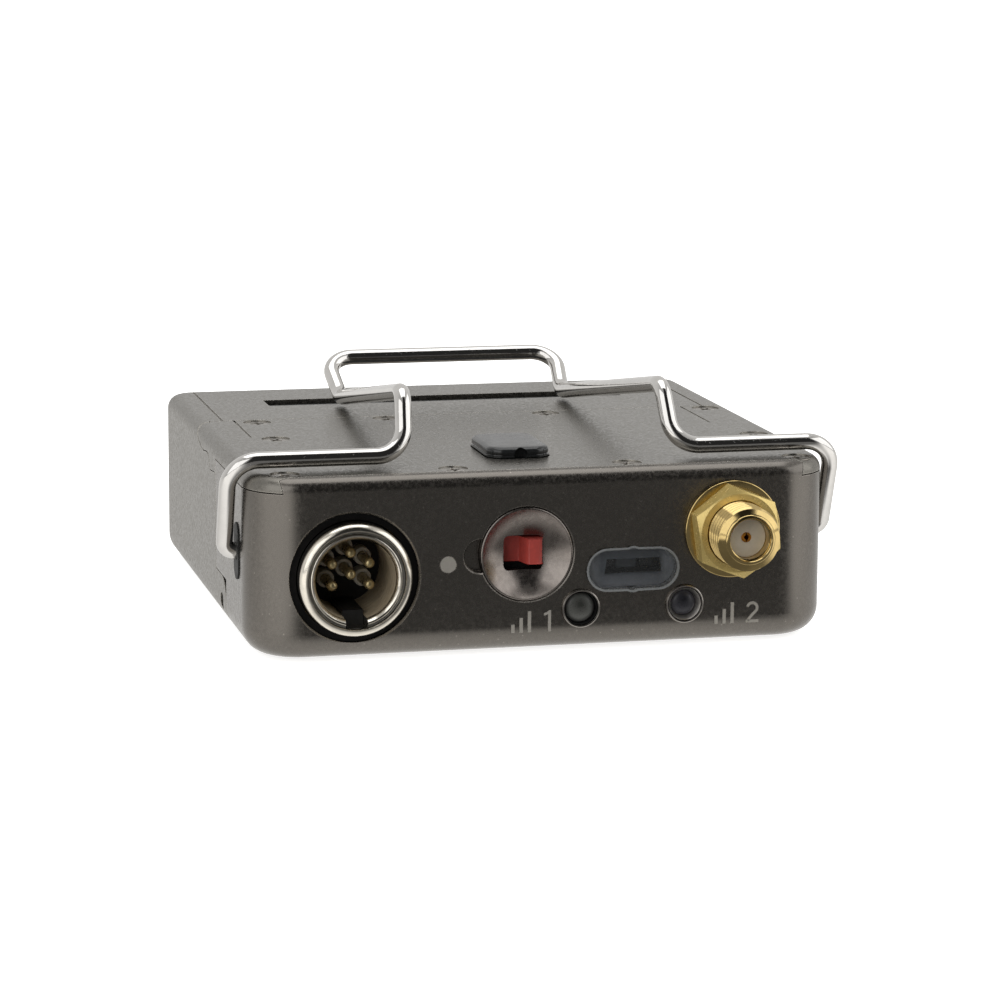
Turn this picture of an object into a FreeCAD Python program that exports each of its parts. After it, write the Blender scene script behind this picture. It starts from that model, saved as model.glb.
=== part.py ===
import FreeCAD, Part
import math
import os
from FreeCAD import Vector

os.makedirs("parts", exist_ok=True)

# Millimetres. X runs across the front panel, Y from the front panel to the back, Z is up.
# The origin is the centre of the bottom face. "Depth" below is the distance behind the front panel.

# Case
CASE_W = 58.0
CASE_D = 56.8
CASE_H = 17.8
FRONT_CORNER_R = 5.5
REAR_CORNER_R = 3.0
BOTTOM_R = 2.6
TOP_R = 1.4
FAR = 80.0
SEAM = 0.12

# Main body
PANEL_T = 2.0
WALL_T = 1.5
FLOOR_T = 1.4
BODY_TOP = 16.45
SKIN_TOP = 16.25
SKIN_T = 1.7
STEP_DEPTH = 14.85
STEP_Z = 5.3
BODY_END = 21.15
BULKHEAD_T = 0.95
STEP_WALL_T = 1.4
CAVITY_R = 3.4
LIP_T = 1.2
LIP_HALF_W_LOW = 25.7
LIP_HALF_W_TOP = 26.3

# Lid and its screws: (x, depth)
LID_Z = 16.5
LID_END = 35.3
LID_SEAM = [(21.3, 14.75), (23.2, 14.8), (24.8, 15.0), (25.3, 15.75), (28.6, 16.0), (31.2, 16.35),
            (33.4, 17.0), (35.3, 18.4)]
SCREWS_FRONT = [(-25.2, 2.9), (-8.75, 2.85), (8.6, 2.85), (25.9, 2.9)]
SCREWS_MID = [(-22.5, 23.2), (25.9, 16.65)]
SCREWS_REAR = [(-22.6, 33.75), (-8.9, 33.75), (8.3, 33.75), (25.9, 33.75)]
SCREW_R = 0.75
SCREW_HEAD_R = 1.4
SCREW_HEAD_H = 0.8
SCREW_SUNK = 0.12
SCREW_LEN = 3.9
SCREW_SHORT_LEN = 1.68
SCREW_HOLE_R = 0.82
CROSS_W = 0.36
CROSS_LEN = 1.7
CROSS_DEEP = 0.55
BOSS_R = 1.75
BOSS_H = 3.85
TAP_R = 0.77
TAP_DEPTH = 3.7
STRIP_T = 0.5
STRIP_DEPTH = (32.2, 35.2)
STRIP_X = (-24.6, 27.2)
GROOVE_W = 0.25
GROOVE_D = 0.15
LID_GROOVE_XS = [-24.8, 23.6]
DOOR_GROOVE_X = 26.0
GASKET_T = 0.5

# Raised cap of the inner aerial
CAP_X = (-4.2, 2.2)
CAP_DEPTH = (7.0, 16.4)
CAP_Z = 18.9
CAP_R = 1.7
CAP_FIT = 0.08
CAP_EDGE = 0.45
CAP_FLANGE = 0.8
CAP_FLANGE_T = 0.5

# Door, hinge and latch
DOOR_WALL = 1.3
HINGE_DEPTH = 17.6
HINGE_Z = 2.6
HINGE_PIN_R = 0.8
HINGE_HOLE_R = 0.86
HINGE_PIN_HALF = 28.5
DOOR_KNUCKLE_R = 2.6
BODY_KNUCKLE_R = 2.25
KNUCKLE_X = [(6.2, 21.8)]
KNUCKLE_GAP = 0.25
KNUCKLE_WEB_Z = 2.95
DOOR_FOOT_TOP = 5.18
SLOT_HALF_W = 19.5
SLOT_DEPTH = (44.2, 48.3)
LATCH_HALF_W = 19.2
LATCH_DEPTH = (44.5, 46.8)
LATCH_TOP = 17.45
LATCH_FLANGE_Z = (16.02, 16.4)
LATCH_FLANGE = 1.2
LATCH_ARM_X = [(-16.0, -12.0), (12.0, 16.0)]
LATCH_ARM_TIP = 35.6
LATCH_RIBS = [45.0, 45.65, 46.3]
LATCH_RIB_W = 0.3
LATCH_RIB_H = 0.2

# Cells and their tray
CELL_R = 7.25
CELL_Z = 8.65
CELL_DEPTHS = [33.15, 47.75]
CELL_LEN = 49.5
CELL_CAN_R = 7.05
CELL_SLEEVE_LEN = 48.6
BUTTON_R = 2.7
BUTTON_LEN = 1.0
TRAY_HALF_W = 27.1
TRAY_END_T = 0.8
TRAY_FRONT = (25.0, 25.8)
TRAY_FRONT_H = 12.0
TRAY_Z = 1.36
TRAY_END_DEPTH = 55.3
TRAY_END_TOP = 15.2
TRAY_RIDGE = (38.1, 42.8)
TRAY_RIDGE_H = 3.6
TRAY_REAR_RIDGE = 52.4
TRAY_REAR_H = 4.6
CONTACT_T = 0.3
CONTACT_W = 9.0
SPRING_W = 4.0
SPRING_RISE = 1.35
POWER_PIN_R = 0.6
POWER_PIN_X = [-8.0, 8.0]
POWER_PIN_Z = 10.0
POWER_PIN_DEPTH = (18.6, 24.6)
PAD_SIZE = 3.0
PAD_T = 0.3

# Wire clip. Points of the left half: (x, depth, z, bend radius at the point)
WIRE_R = 0.82
CLIP_X0 = 0.27
PIVOT_DEPTH = 8.0
PIVOT_Z = 9.56
CLIP_PATH = [(25.6, 8.0, 9.56, 0.0), (30.3, 8.0, 9.56, 1.15), (30.3, 4.6, 18.95, 2.9),
             (13.5, 4.6, 18.95, 2.9), (13.05, 7.4, 24.75, 1.9), (12.2, 43.2, 18.65, 3.0),
             (12.8, 48.6, 22.2, 2.6)]
BUSH_W = 2.6
BUSH_H = 5.6
BUSH_HOLE_R = 0.89
BUSH_FLANGE = 0.6
BUSH_FLANGE_T = 0.5
BUSH_PROUD = 0.12
RETAINER_R = 1.9
RETAINER_T = 0.6

# Six-pin input
XLR_X = -19.0
XLR_Z = 8.0
XLR_HOLE_R = 6.3
XLR_ISO_R = 5.62
XLR_RING_R = 5.55
XLR_PROUD = 1.4
XLR_EDGE = 0.18
XLR_THREAD_R = 5.0
XLR_LEN = 11.0
XLR_BORE_R = 3.95
XLR_FACE_R = 4.75
XLR_KEY_W = 2.15
XLR_FACE_DEPTH = 7.2
XLR_PIN_R = 0.5
XLR_PIN_CIRCLE = 2.1
XLR_PIN_TIP = 1.5
XLR_PIN_NOSE = 0.22
XLR_PIN_END = 12.4
XLR_CUP_R = 0.86
XLR_CUP_DEPTH = (5.3, 8.4)
XLR_LOCK_R = 6.2
XLR_LOCK_DEPTH = (2.75, 4.3)
XLR_BOARD_T = 0.8

# Slide switch
BEZEL_X = -2.05
BEZEL_Z = 9.65
BEZEL_R = 4.55
BOWL_R = 4.38
BOWL_DEEP = 1.75
BEZEL_T = 2.6
NOTCH_X = -6.6
NOTCH_Z = 9.6
NOTCH_R = 1.62
NOTCH_DEEP = 1.1
SLOT_X = -2.15
SLOT_Z = 9.55
SLOT_W = 3.85
SLOT_H = 3.4
KNOB_H = 2.5
KNOB_RISE = 0.2
KNOB_PLATE = (2.72, 3.22)
KNOB_TRAVEL = 1.8
KNOB_CREST = 0.7
SWITCH_BOX = (4.7, 3.35, 7.6, 3.4)
DOT_X = -9.85
DOT_Z = 8.95
DOT_R = 0.78
DOT_T = 0.15

# Infrared window
WIN_X = 8.5
WIN_Z = 7.8
WIN_W = 8.9
WIN_H = 3.85
WIN_PROUD = 0.3
WIN_T = 1.9
WIN_FIT = 0.04
WIN_TAB_R = 0.8
WIN_TAB_OUT = 0.15
SURROUND_T = 0.8
SURROUND_HOLE_X = (-2.75, 3.15)
SURROUND_HOLE_Z = (-0.2, 1.35)
IR_BOX = (3.1, 0.9, 2.4)
IR_RISE = 0.55
IR_DOME_R = 0.7
IR_DOME_X = 1.7

# Channel lights
LED_XS = [3.33, 13.8]
LED_Z = 4.1
LED_RIM_R = 1.92
LED_LENS_R = 1.45
LED_PROUD = 0.28
LED_RIM_END = 2.5
LED_PIPE_END = 2.9
LED_CHIP = (0.8, 1.1, 1.0)

# Aerial jack
SMA_X = 18.5
SMA_Z = 11.4
SMA_R = 3.175
SMA_NECK_R = 2.85
SMA_FRONT = -6.3
SMA_NECK_START = -2.76
SMA_LEAD_IN = 0.54
SMA_BORE_R = 2.1
SMA_HOLE_R = 3.25
SMA_WASHER_R = 4.8
SMA_WASHER_BORE_R = 3.23
SMA_WASHER_T = 0.5
SMA_NUT_AF = 8.0
SMA_NUT_T = 2.2
SMA_NUT_TURN = 8.0
SMA_FLANGE_R = 4.5
SMA_FLANGE = (2.05, 3.6)
SMA_FLAT = 3.9
SMA_TAIL_R = 2.6
SMA_BACK = 6.2
SMA_RECESS = 0.35
SMA_PIN_R = 0.635
SMA_PIN_BORE_R = 0.42
SMA_PIN_BORE = 3.0
SMA_TAIL = 7.6

# Boards
MAIN_BOARD = (-11.6, 25.2, 3.0, 13.0, 2.0, 3.0)
RF_BOARD = (-11.6, 24.1, 9.4, 19.4, 12.4, 13.2)
POST_R = 1.4
BOARD_SCREW_R = 0.5
BOARD_SCREW_HEAD_R = 1.0
BOARD_SCREW_HEAD_H = 0.5
MAIN_POSTS = [(-10.0, 11.5), (22.8, 11.5), (22.8, 6.0)]
RF_POSTS = [(-10.0, 18.0), (22.8, 18.0), (-10.0, 11.5), (22.8, 11.5)]
MAIN_CAN = (-9.0, 1.0, 5.0, 11.0, 3.02, 4.8)
RF_CAN = (6.0, 21.6, 10.4, 18.6, 13.22, 15.7)
CAN_T = 0.25
CHIPS = [(16.6, 20.4, 6.0, 9.6, 3.02, 4.1), (5.0, 9.0, 6.6, 10.6, 3.02, 4.2), (10.6, 13.2, 8.4, 11.4, 3.02, 3.9)]
AERIAL_CHIP = (-3.6, 1.6, 10.2, 15.6, 13.22, 15.5)
LINK = (-6.6, 3.0, 11.4, 12.6)


def at(x, depth, z):
    return Vector(x, depth - CASE_D / 2, z)


def box(x0, x1, d0, d1, z0, z1):
    return Part.makeBox(x1 - x0, d1 - d0, z1 - z0, at(x0, d0, z0))


def rod_x(depth, z, radius, x0, x1):
    return Part.makeCylinder(radius, x1 - x0, at(x0, depth, z), Vector(1, 0, 0))


def rod_y(x, z, radius, d0, d1):
    return Part.makeCylinder(radius, d1 - d0, at(x, d0, z), Vector(0, 1, 0))


def rod_z(x, depth, radius, z0, z1):
    return Part.makeCylinder(radius, z1 - z0, at(x, depth, z0), Vector(0, 0, 1))


def cone_y(x, z, r0, r1, d0, d1):
    return Part.makeCone(r0, r1, d1 - d0, at(x, d0, z), Vector(0, 1, 0))


def ring_y(x, z, outer, inner, d0, d1):
    return rod_y(x, z, outer, d0, d1).cut(rod_y(x, z, inner, d0 - 1, d1 + 1))


def join(shapes):
    whole = shapes[0]
    for shape in shapes[1:]:
        whole = whole.fuse(shape)
    return whole.removeSplitter()


def cut(shape, tools):
    for tool in tools:
        shape = shape.cut(tool)
    return shape


def group(shapes):
    return Part.makeCompound(shapes)


def save(name, shape):
    shape.exportStep("parts/" + name + ".step")


def upright_edges(shape, depth_low, depth_high):
    found = []
    for edge in shape.Edges:
        a, b = edge.Vertexes[0].Point, edge.Vertexes[-1].Point
        upright = abs(a.z - b.z) > 1e-6 and abs(a.x - b.x) + abs(a.y - b.y) < 1e-6
        depth = a.y + CASE_D / 2
        if upright and depth_low <= depth <= depth_high:
            found.append(edge)
    return found


def level_edges(shape, z):
    found = []
    for edge in shape.Edges:
        if all(abs(v.Point.z - z) < 1e-6 for v in edge.Vertexes):
            if abs(edge.CenterOfMass.z - z) < 1e-6:
                found.append(edge)
    return found


def end_edges(shape, depth):
    """Edges of the round end of a Y rod at that depth."""
    return [e for e in shape.Edges if abs(e.CenterOfMass.y + CASE_D / 2 - depth) < 1e-6]


def prism_x(points, x0, x1):
    corners = [at(x0, d, z) for d, z in points]
    face = Part.Face(Part.makePolygon(corners + corners[:1]))
    return face.extrude(Vector(x1 - x0, 0, 0))


def prism_y(points, d0, d1):
    corners = [at(x, d0, z) for x, z in points]
    face = Part.Face(Part.makePolygon(corners + corners[:1]))
    return face.extrude(Vector(0, d1 - d0, 0))


def obround_y(x, z, width, height, d0, d1):
    reach = (width - height) / 2
    middle = box(x - reach, x + reach, d0, d1, z - height / 2, z + height / 2)
    ends = [rod_y(x + side * reach, z, height / 2, d0, d1) for side in (-1, 1)]
    return join([middle] + ends)


def obround_x(width, height, x0, x1):
    """A bar along X around the clip's pivot, tall and rounded at its top and bottom."""
    reach = (height - width) / 2
    middle = box(x0, x1, PIVOT_DEPTH - width / 2, PIVOT_DEPTH + width / 2, PIVOT_Z - reach, PIVOT_Z + reach)
    ends = [rod_x(PIVOT_DEPTH, PIVOT_Z + side * reach, width / 2, x0, x1) for side in (-1, 1)]
    return join([middle] + ends)


def rounded_case():
    case = box(-CASE_W / 2, CASE_W / 2, 0, CASE_D, 0, CASE_H)
    case = case.makeFillet(FRONT_CORNER_R, upright_edges(case, -1, 1))
    case = case.makeFillet(REAR_CORNER_R, upright_edges(case, CASE_D - 1, CASE_D + 1))
    case = case.makeFillet(BOTTOM_R, level_edges(case, 0))
    return case.makeFillet(TOP_R, level_edges(case, CASE_H))


def inner_block(z0, z1):
    half = CASE_W / 2 - SKIN_T
    block = box(-half, half, SKIN_T, CASE_D - SKIN_T, z0, z1)
    return block.makeFillet(CAVITY_R, upright_edges(block, 0, SKIN_T + 1))


def front_lip_zone(grow):
    low = LIP_HALF_W_LOW + grow
    top = LIP_HALF_W_TOP + grow
    points = [(-low, SKIN_TOP - 0.1), (-top, CASE_H + 1), (top, CASE_H + 1), (low, SKIN_TOP - 0.1)]
    return prism_y(points, -1, LIP_T + grow)


def lid_side_zone(grow):
    """Everything above the side seam of the lid, as an X prism."""
    points = [at(-FAR / 2, d + grow, z - grow) for d, z in LID_SEAM]
    points[0] = at(-FAR / 2, LID_SEAM[0][0] - grow, LID_SEAM[0][1] - grow)
    curve = Part.BSplineCurve()
    curve.interpolate(points)
    front_z = SKIN_TOP + SEAM - grow
    rest = [points[-1], Vector(points[-1].x, points[-1].y, FAR / 2), at(-FAR / 2, -5, FAR / 2),
            at(-FAR / 2, -5, front_z), Vector(points[0].x, points[0].y, front_z), points[0]]
    face = Part.Face(Part.Wire([curve.toShape()] + Part.makePolygon(rest).Edges))
    return face.extrude(Vector(FAR, 0, 0))


def body_outer():
    low = prism_x([(-5, -5), (STEP_DEPTH, -5), (STEP_DEPTH, STEP_Z), (BODY_END, STEP_Z),
                   (BODY_END, SKIN_TOP), (-5, SKIN_TOP)], -FAR, FAR)
    top = inner_block(SKIN_TOP - 1, BODY_TOP).common(box(-FAR, FAR, 0, BODY_END, 0, FAR))
    case = rounded_case()
    return join([case.common(low), top, case.common(front_lip_zone(0))])


def body_cavity():
    half = CASE_W / 2 - WALL_T
    deep = box(-half, half, PANEL_T, STEP_DEPTH - STEP_WALL_T, FLOOR_T, CASE_H)
    deep = deep.makeFillet(CAVITY_R, upright_edges(deep, 0, PANEL_T + 1))
    high = box(-half, half, STEP_DEPTH - STEP_WALL_T - 1, BODY_END - BULKHEAD_T,
               STEP_Z + STEP_WALL_T, CASE_H)
    return join([deep, high])


def bosses():
    made = []
    for x, depth in SCREWS_FRONT:
        made.append(rod_z(x, depth, BOSS_R, BODY_TOP - BOSS_H, BODY_TOP))
    side_x, side_depth = SCREWS_MID[1]
    made.append(rod_z(side_x, side_depth, BOSS_R, BODY_TOP - BOSS_H, BODY_TOP))
    lug_x, lug_depth = SCREWS_MID[0]
    made.append(box(lug_x - BOSS_R, lug_x + BOSS_R, BODY_END - 0.5, lug_depth + 1.5,
                    BODY_TOP - BOSS_H, BODY_TOP))
    inside = join([inner_block(0, BODY_TOP), rounded_case().common(box(-FAR, FAR, 0, FAR, 0, SKIN_TOP))])
    return [shape.common(inside) for shape in made]


def posts():
    made = []
    for x, depth in MAIN_POSTS:
        made.append(rod_z(x, depth, POST_R, FLOOR_T - 0.2, MAIN_BOARD[4]))
    return made


def body_knuckles():
    made = []
    for near, far in KNUCKLE_X:
        for x0, x1 in ((-far, -near), (near, far)):
            barrel = rod_x(HINGE_DEPTH, HINGE_Z, BODY_KNUCKLE_R, x0, x1)
            web = box(x0, x1, STEP_DEPTH - 0.2, HINGE_DEPTH + BODY_KNUCKLE_R, KNUCKLE_WEB_Z, STEP_Z + 0.1)
            made.append(barrel.fuse(web))
    return made


def switch_notch():
    return rod_y(NOTCH_X, NOTCH_Z, NOTCH_R, -1, NOTCH_DEEP)


def window_shape(grow, d0, d1):
    plate = obround_y(WIN_X, WIN_Z, WIN_W + 2 * grow, WIN_H + 2 * grow, d0, d1)
    reach = WIN_H / 2 + WIN_TAB_OUT - WIN_TAB_R
    tabs = [rod_y(WIN_X, WIN_Z + side * reach, WIN_TAB_R + grow, d0, d1) for side in (-1, 1)]
    return join([plate] + tabs)


def edge_chamfer(x, z, radius, size):
    return cone_y(x, z, radius + size + 0.5, radius, -0.5, size)


def panel_holes():
    holes = [
        rod_y(XLR_X, XLR_Z, XLR_HOLE_R, -1, PANEL_T + 1),
        edge_chamfer(XLR_X, XLR_Z, XLR_HOLE_R, 0.16),
        rod_y(BEZEL_X, BEZEL_Z, BEZEL_R + 0.05, -1, PANEL_T + 1),
        edge_chamfer(BEZEL_X, BEZEL_Z, BEZEL_R + 0.05, 0.14),
        switch_notch(),
        edge_chamfer(NOTCH_X, NOTCH_Z, NOTCH_R, 0.14),
        window_shape(WIN_FIT, -1, PANEL_T + 1),
        rod_y(SMA_X, SMA_Z, SMA_HOLE_R, -1, PANEL_T + 1),
        rod_y(DOT_X, DOT_Z, DOT_R + 0.01, -1, DOT_T),
    ]
    for x in LED_XS:
        holes.append(rod_y(x, LED_Z, LED_RIM_R + 0.03, -1, PANEL_T + 1))
    return holes


def main_body():
    shell = join([body_outer().cut(body_cavity())] + bosses() + posts() + body_knuckles())
    tools = panel_holes()
    for x, depth in SCREWS_FRONT + SCREWS_MID:
        tools.append(rod_z(x, depth, TAP_R, BODY_TOP - TAP_DEPTH, CASE_H))
    for x, depth in MAIN_POSTS:
        tools.append(rod_z(x, depth, BOARD_SCREW_R + 0.02, FLOOR_T - 0.6, MAIN_BOARD[4] + 1))
    tools.append(obround_x(BUSH_W + 0.04, BUSH_H + 0.04, -FAR, FAR))
    tools.append(rod_x(HINGE_DEPTH, HINGE_Z, HINGE_PIN_R + 0.02, -FAR / 2, FAR / 2))
    for x in POWER_PIN_X:
        tools.append(rod_y(x, POWER_PIN_Z, POWER_PIN_R + 0.03, BODY_END - 3, BODY_END + 2))
    return cut(shell, tools)


def lid_plate():
    skin = rounded_case().cut(inner_block(-1, FAR)).common(lid_side_zone(0))
    plate = rounded_case().common(inner_block(LID_Z, FAR)).common(box(-FAR, FAR, 0, LID_END, 0, FAR))
    lid = join([skin, plate])
    return lid.cut(front_lip_zone(SEAM / 2))


def countersink(x, depth):
    top = CASE_H + 0.02
    seat = CASE_H - SCREW_SUNK
    cone = Part.makeCone(SCREW_HOLE_R, SCREW_HEAD_R + SCREW_HOLE_R - SCREW_R, SCREW_HEAD_H,
                         at(x, depth, seat - SCREW_HEAD_H), Vector(0, 0, 1))
    mouth = rod_z(x, depth, SCREW_HEAD_R + SCREW_HOLE_R - SCREW_R, seat, top)
    return join([cone, mouth, rod_z(x, depth, SCREW_HOLE_R, LID_Z - 1, top)])


def top_cover():
    tools = [countersink(x, d) for x, d in SCREWS_FRONT + SCREWS_MID + SCREWS_REAR]
    tools.append(cap_block(CAP_FIT, LID_Z - 1, CASE_H + 1))
    for x in LID_GROOVE_XS:
        tools.append(box(x - GROOVE_W / 2, x + GROOVE_W / 2, 24.5, LID_END + 1, CASE_H - GROOVE_D, FAR))
    return cut(lid_plate(), tools)


def cap_block(grow, z0, z1):
    block = box(CAP_X[0] - grow, CAP_X[1] + grow, CAP_DEPTH[0] - grow, CAP_DEPTH[1] + grow, z0, z1)
    return block.makeFillet(CAP_R + grow, upright_edges(block, 0, CASE_D))


def antenna_cap():
    block = cap_block(0, LID_Z - CAP_FLANGE_T, CAP_Z)
    block = block.makeFillet(CAP_EDGE, level_edges(block, CAP_Z))
    flange = box(CAP_X[0] - CAP_FLANGE, CAP_X[1] + CAP_FLANGE, CAP_DEPTH[0] - CAP_FLANGE,
                 CAP_DEPTH[1] + CAP_FLANGE, LID_Z - CAP_FLANGE_T - 0.03, LID_Z - 0.03)
    mid = (CAP_X[0] + CAP_X[1]) / 2
    dent = rod_z(mid, CAP_DEPTH[0] - 0.35, 0.6, CASE_H + 0.35, CAP_Z + 1)
    return join([block, flange]).cut(dent)


def screw(x, depth, length):
    head_top = CASE_H - SCREW_SUNK
    head = Part.makeCone(SCREW_R, SCREW_HEAD_R, SCREW_HEAD_H, at(x, depth, head_top - SCREW_HEAD_H),
                         Vector(0, 0, 1))
    shank = rod_z(x, depth, SCREW_R, head_top - length, head_top - SCREW_HEAD_H + 0.05)
    body = head.fuse(shank)
    for dx, dy in ((CROSS_LEN / 2, CROSS_W / 2), (CROSS_W / 2, CROSS_LEN / 2)):
        body = body.cut(box(x - dx, x + dx, depth - dy, depth + dy, head_top - CROSS_DEEP, FAR))
    return body


def cover_screws(places, length):
    return group([screw(x, d, length) for x, d in places])


def cover_nut_strip():
    top = LID_Z - 0.03
    strip = box(STRIP_X[0], STRIP_X[1], STRIP_DEPTH[0], STRIP_DEPTH[1], top - STRIP_T, top)
    return cut(strip, [rod_z(x, d, TAP_R, 0, FAR) for x, d in SCREWS_REAR])


def cover_gasket():
    half = CASE_W / 2 - WALL_T - 0.35
    outer = box(-half, half, PANEL_T + 0.9, BODY_END - BULKHEAD_T - 0.15, LID_Z - 0.03 - GASKET_T, LID_Z - 0.03)
    inner = box(-half + 0.9, half - 0.9, PANEL_T + 1.8, BODY_END - BULKHEAD_T - 1.05, 0, FAR)
    tools = [inner] + [rod_z(x, d, BOSS_R + 0.1, 0, FAR) for x, d in SCREWS_FRONT + SCREWS_MID]
    ring = cut(outer.makeFillet(CAVITY_R - 1, upright_edges(outer, 0, PANEL_T + 2)), tools)
    return group(ring.Solids)


def door_zone():
    """Side view of everything that belongs to the door, as an X prism."""
    rear = box(-FAR, FAR, BODY_END + 0.15, CASE_D + 1, -1, CASE_H + 1)
    foot = box(-FAR, FAR, HINGE_DEPTH, BODY_END + 1, -1, DOOR_FOOT_TOP)
    disc = rod_x(HINGE_DEPTH, HINGE_Z, DOOR_KNUCKLE_R, -FAR, FAR)
    return join([rear, foot, disc])


def door_shell():
    case = rounded_case()
    shell = case.common(door_zone())
    half = CASE_W / 2 - DOOR_WALL
    hollow = box(-half, half, BODY_END - 0.5, CASE_D - DOOR_WALL, DOOR_WALL, CASE_H - DOOR_WALL)
    foot_hollow = box(-KNUCKLE_X[0][1] - 0.6, KNUCKLE_X[0][1] + 0.6, HINGE_DEPTH - 5, BODY_END + 1,
                      DOOR_WALL, CASE_H)
    return shell.cut(hollow).cut(foot_hollow)


def lid_clearance():
    half = CASE_W / 2 - SKIN_T + SEAM
    top = box(-half, half, -5, LID_END + SEAM, CASE_H - DOOR_WALL - 0.6, FAR)
    return [lid_side_zone(SEAM), top]


def door_knuckle():
    near = KNUCKLE_X[0][0] - KNUCKLE_GAP
    barrel = rod_x(HINGE_DEPTH, HINGE_Z, DOOR_KNUCKLE_R, -near, near)
    foot = box(-near, near, HINGE_DEPTH, BODY_END + 1, 0, DOOR_KNUCKLE_R)
    return barrel.fuse(foot)


def knuckle_clearance():
    tools = []
    for near, far in KNUCKLE_X:
        for x0, x1 in ((-far, -near), (near, far)):
            tools.append(rod_x(HINGE_DEPTH, HINGE_Z, BODY_KNUCKLE_R + 0.3, x0 - KNUCKLE_GAP, x1 + KNUCKLE_GAP))
            tools.append(box(x0 - KNUCKLE_GAP, x1 + KNUCKLE_GAP, 0, HINGE_DEPTH, -1, FAR))
    return tools


def battery_door():
    shell = cut(door_shell(), lid_clearance())
    shell = join([shell, door_knuckle()])
    tools = knuckle_clearance()
    tools.append(rod_x(HINGE_DEPTH, HINGE_Z, HINGE_HOLE_R, -FAR / 2, FAR / 2))
    tools.append(box(-SLOT_HALF_W, SLOT_HALF_W, SLOT_DEPTH[0], SLOT_DEPTH[1], CASE_H - 3, FAR))
    for side in (-1, 1):
        x = side * DOOR_GROOVE_X
        tools.append(box(x - GROOVE_W / 2, x + GROOVE_W / 2, LID_END, CASE_D - 1, CASE_H - GROOVE_D, FAR))
    return cut(shell, tools)


def door_latch():
    low, high = LATCH_FLANGE_Z
    bar = box(-LATCH_HALF_W, LATCH_HALF_W, LATCH_DEPTH[0], LATCH_DEPTH[1], low, LATCH_TOP)
    flange = box(-LATCH_HALF_W - LATCH_FLANGE, LATCH_HALF_W + LATCH_FLANGE, LATCH_DEPTH[0] - LATCH_FLANGE,
                 LATCH_DEPTH[1] + LATCH_FLANGE + 1, low, high)
    arms = [box(x0, x1, LATCH_ARM_TIP, LATCH_DEPTH[0], low, high) for x0, x1 in LATCH_ARM_X]
    grooves = []
    for depth in LATCH_RIBS:
        grooves.append(box(-LATCH_HALF_W + 1, LATCH_HALF_W - 1, depth - LATCH_RIB_W / 2,
                           depth + LATCH_RIB_W / 2, LATCH_TOP - LATCH_RIB_H, FAR))
    return cut(join([bar, flange] + arms), grooves)


def hinge_pin():
    return rod_x(HINGE_DEPTH, HINGE_Z, HINGE_PIN_R, -HINGE_PIN_HALF, HINGE_PIN_HALF)


def battery_tray():
    half = TRAY_HALF_W
    parts = [box(-half, half, TRAY_FRONT[0], TRAY_FRONT[1], TRAY_Z, TRAY_FRONT_H)]
    for side in (-1, 1):
        x0, x1 = sorted((side * half, side * (half - TRAY_END_T)))
        parts.append(box(x0, x1, TRAY_FRONT[0], TRAY_END_DEPTH, TRAY_Z, TRAY_END_TOP))
    parts.append(box(-half, half, TRAY_RIDGE[0], TRAY_RIDGE[1], TRAY_Z, TRAY_RIDGE_H))
    parts.append(box(-half, half, TRAY_REAR_RIDGE, TRAY_END_DEPTH, TRAY_Z, TRAY_REAR_H))
    inner = half - TRAY_END_T
    tools = [rod_x(d, CELL_Z, CELL_R + 0.05, -inner, inner) for d in CELL_DEPTHS]
    return cut(join(parts), tools)


def cell_start(index):
    """X of the flat end; the first cell points to the right, the second to the left."""
    side = 1 if index == 0 else -1
    tip = side * (TRAY_HALF_W - TRAY_END_T - CONTACT_T - 0.05)
    return tip - side * (CELL_LEN + BUTTON_LEN), side


def along(x, side, length):
    return sorted((x, x + side * length))


def cell_bodies():
    made = []
    for index, depth in enumerate(CELL_DEPTHS):
        x, side = cell_start(index)
        x0, x1 = along(x, side, CELL_LEN)
        made.append(rod_x(depth, CELL_Z, CELL_CAN_R, x0, x1))
    return group(made)


def cell_sleeves():
    made = []
    for index, depth in enumerate(CELL_DEPTHS):
        x, side = cell_start(index)
        x0, x1 = along(x + side * (CELL_LEN - CELL_SLEEVE_LEN) / 2, side, CELL_SLEEVE_LEN)
        tube = rod_x(depth, CELL_Z, CELL_R, x0, x1)
        made.append(tube.cut(rod_x(depth, CELL_Z, CELL_CAN_R + 0.01, x0 - 1, x1 + 1)))
    return group(made)


def cell_buttons():
    made = []
    for index, depth in enumerate(CELL_DEPTHS):
        x, side = cell_start(index)
        x0, x1 = along(x + side * CELL_LEN, side, BUTTON_LEN)
        made.append(rod_x(depth, CELL_Z, BUTTON_R, x0, x1))
    return group(made)


def contact_plates():
    made = []
    inner = TRAY_HALF_W - TRAY_END_T
    for depth in CELL_DEPTHS:
        for side in (-1, 1):
            x0, x1 = sorted((side * inner, side * (inner - CONTACT_T)))
            made.append(box(x0, x1, depth - CONTACT_W / 2, depth + CONTACT_W / 2,
                            CELL_Z - CONTACT_W / 2, CELL_Z + CONTACT_W / 2))
    return group(made)


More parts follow.
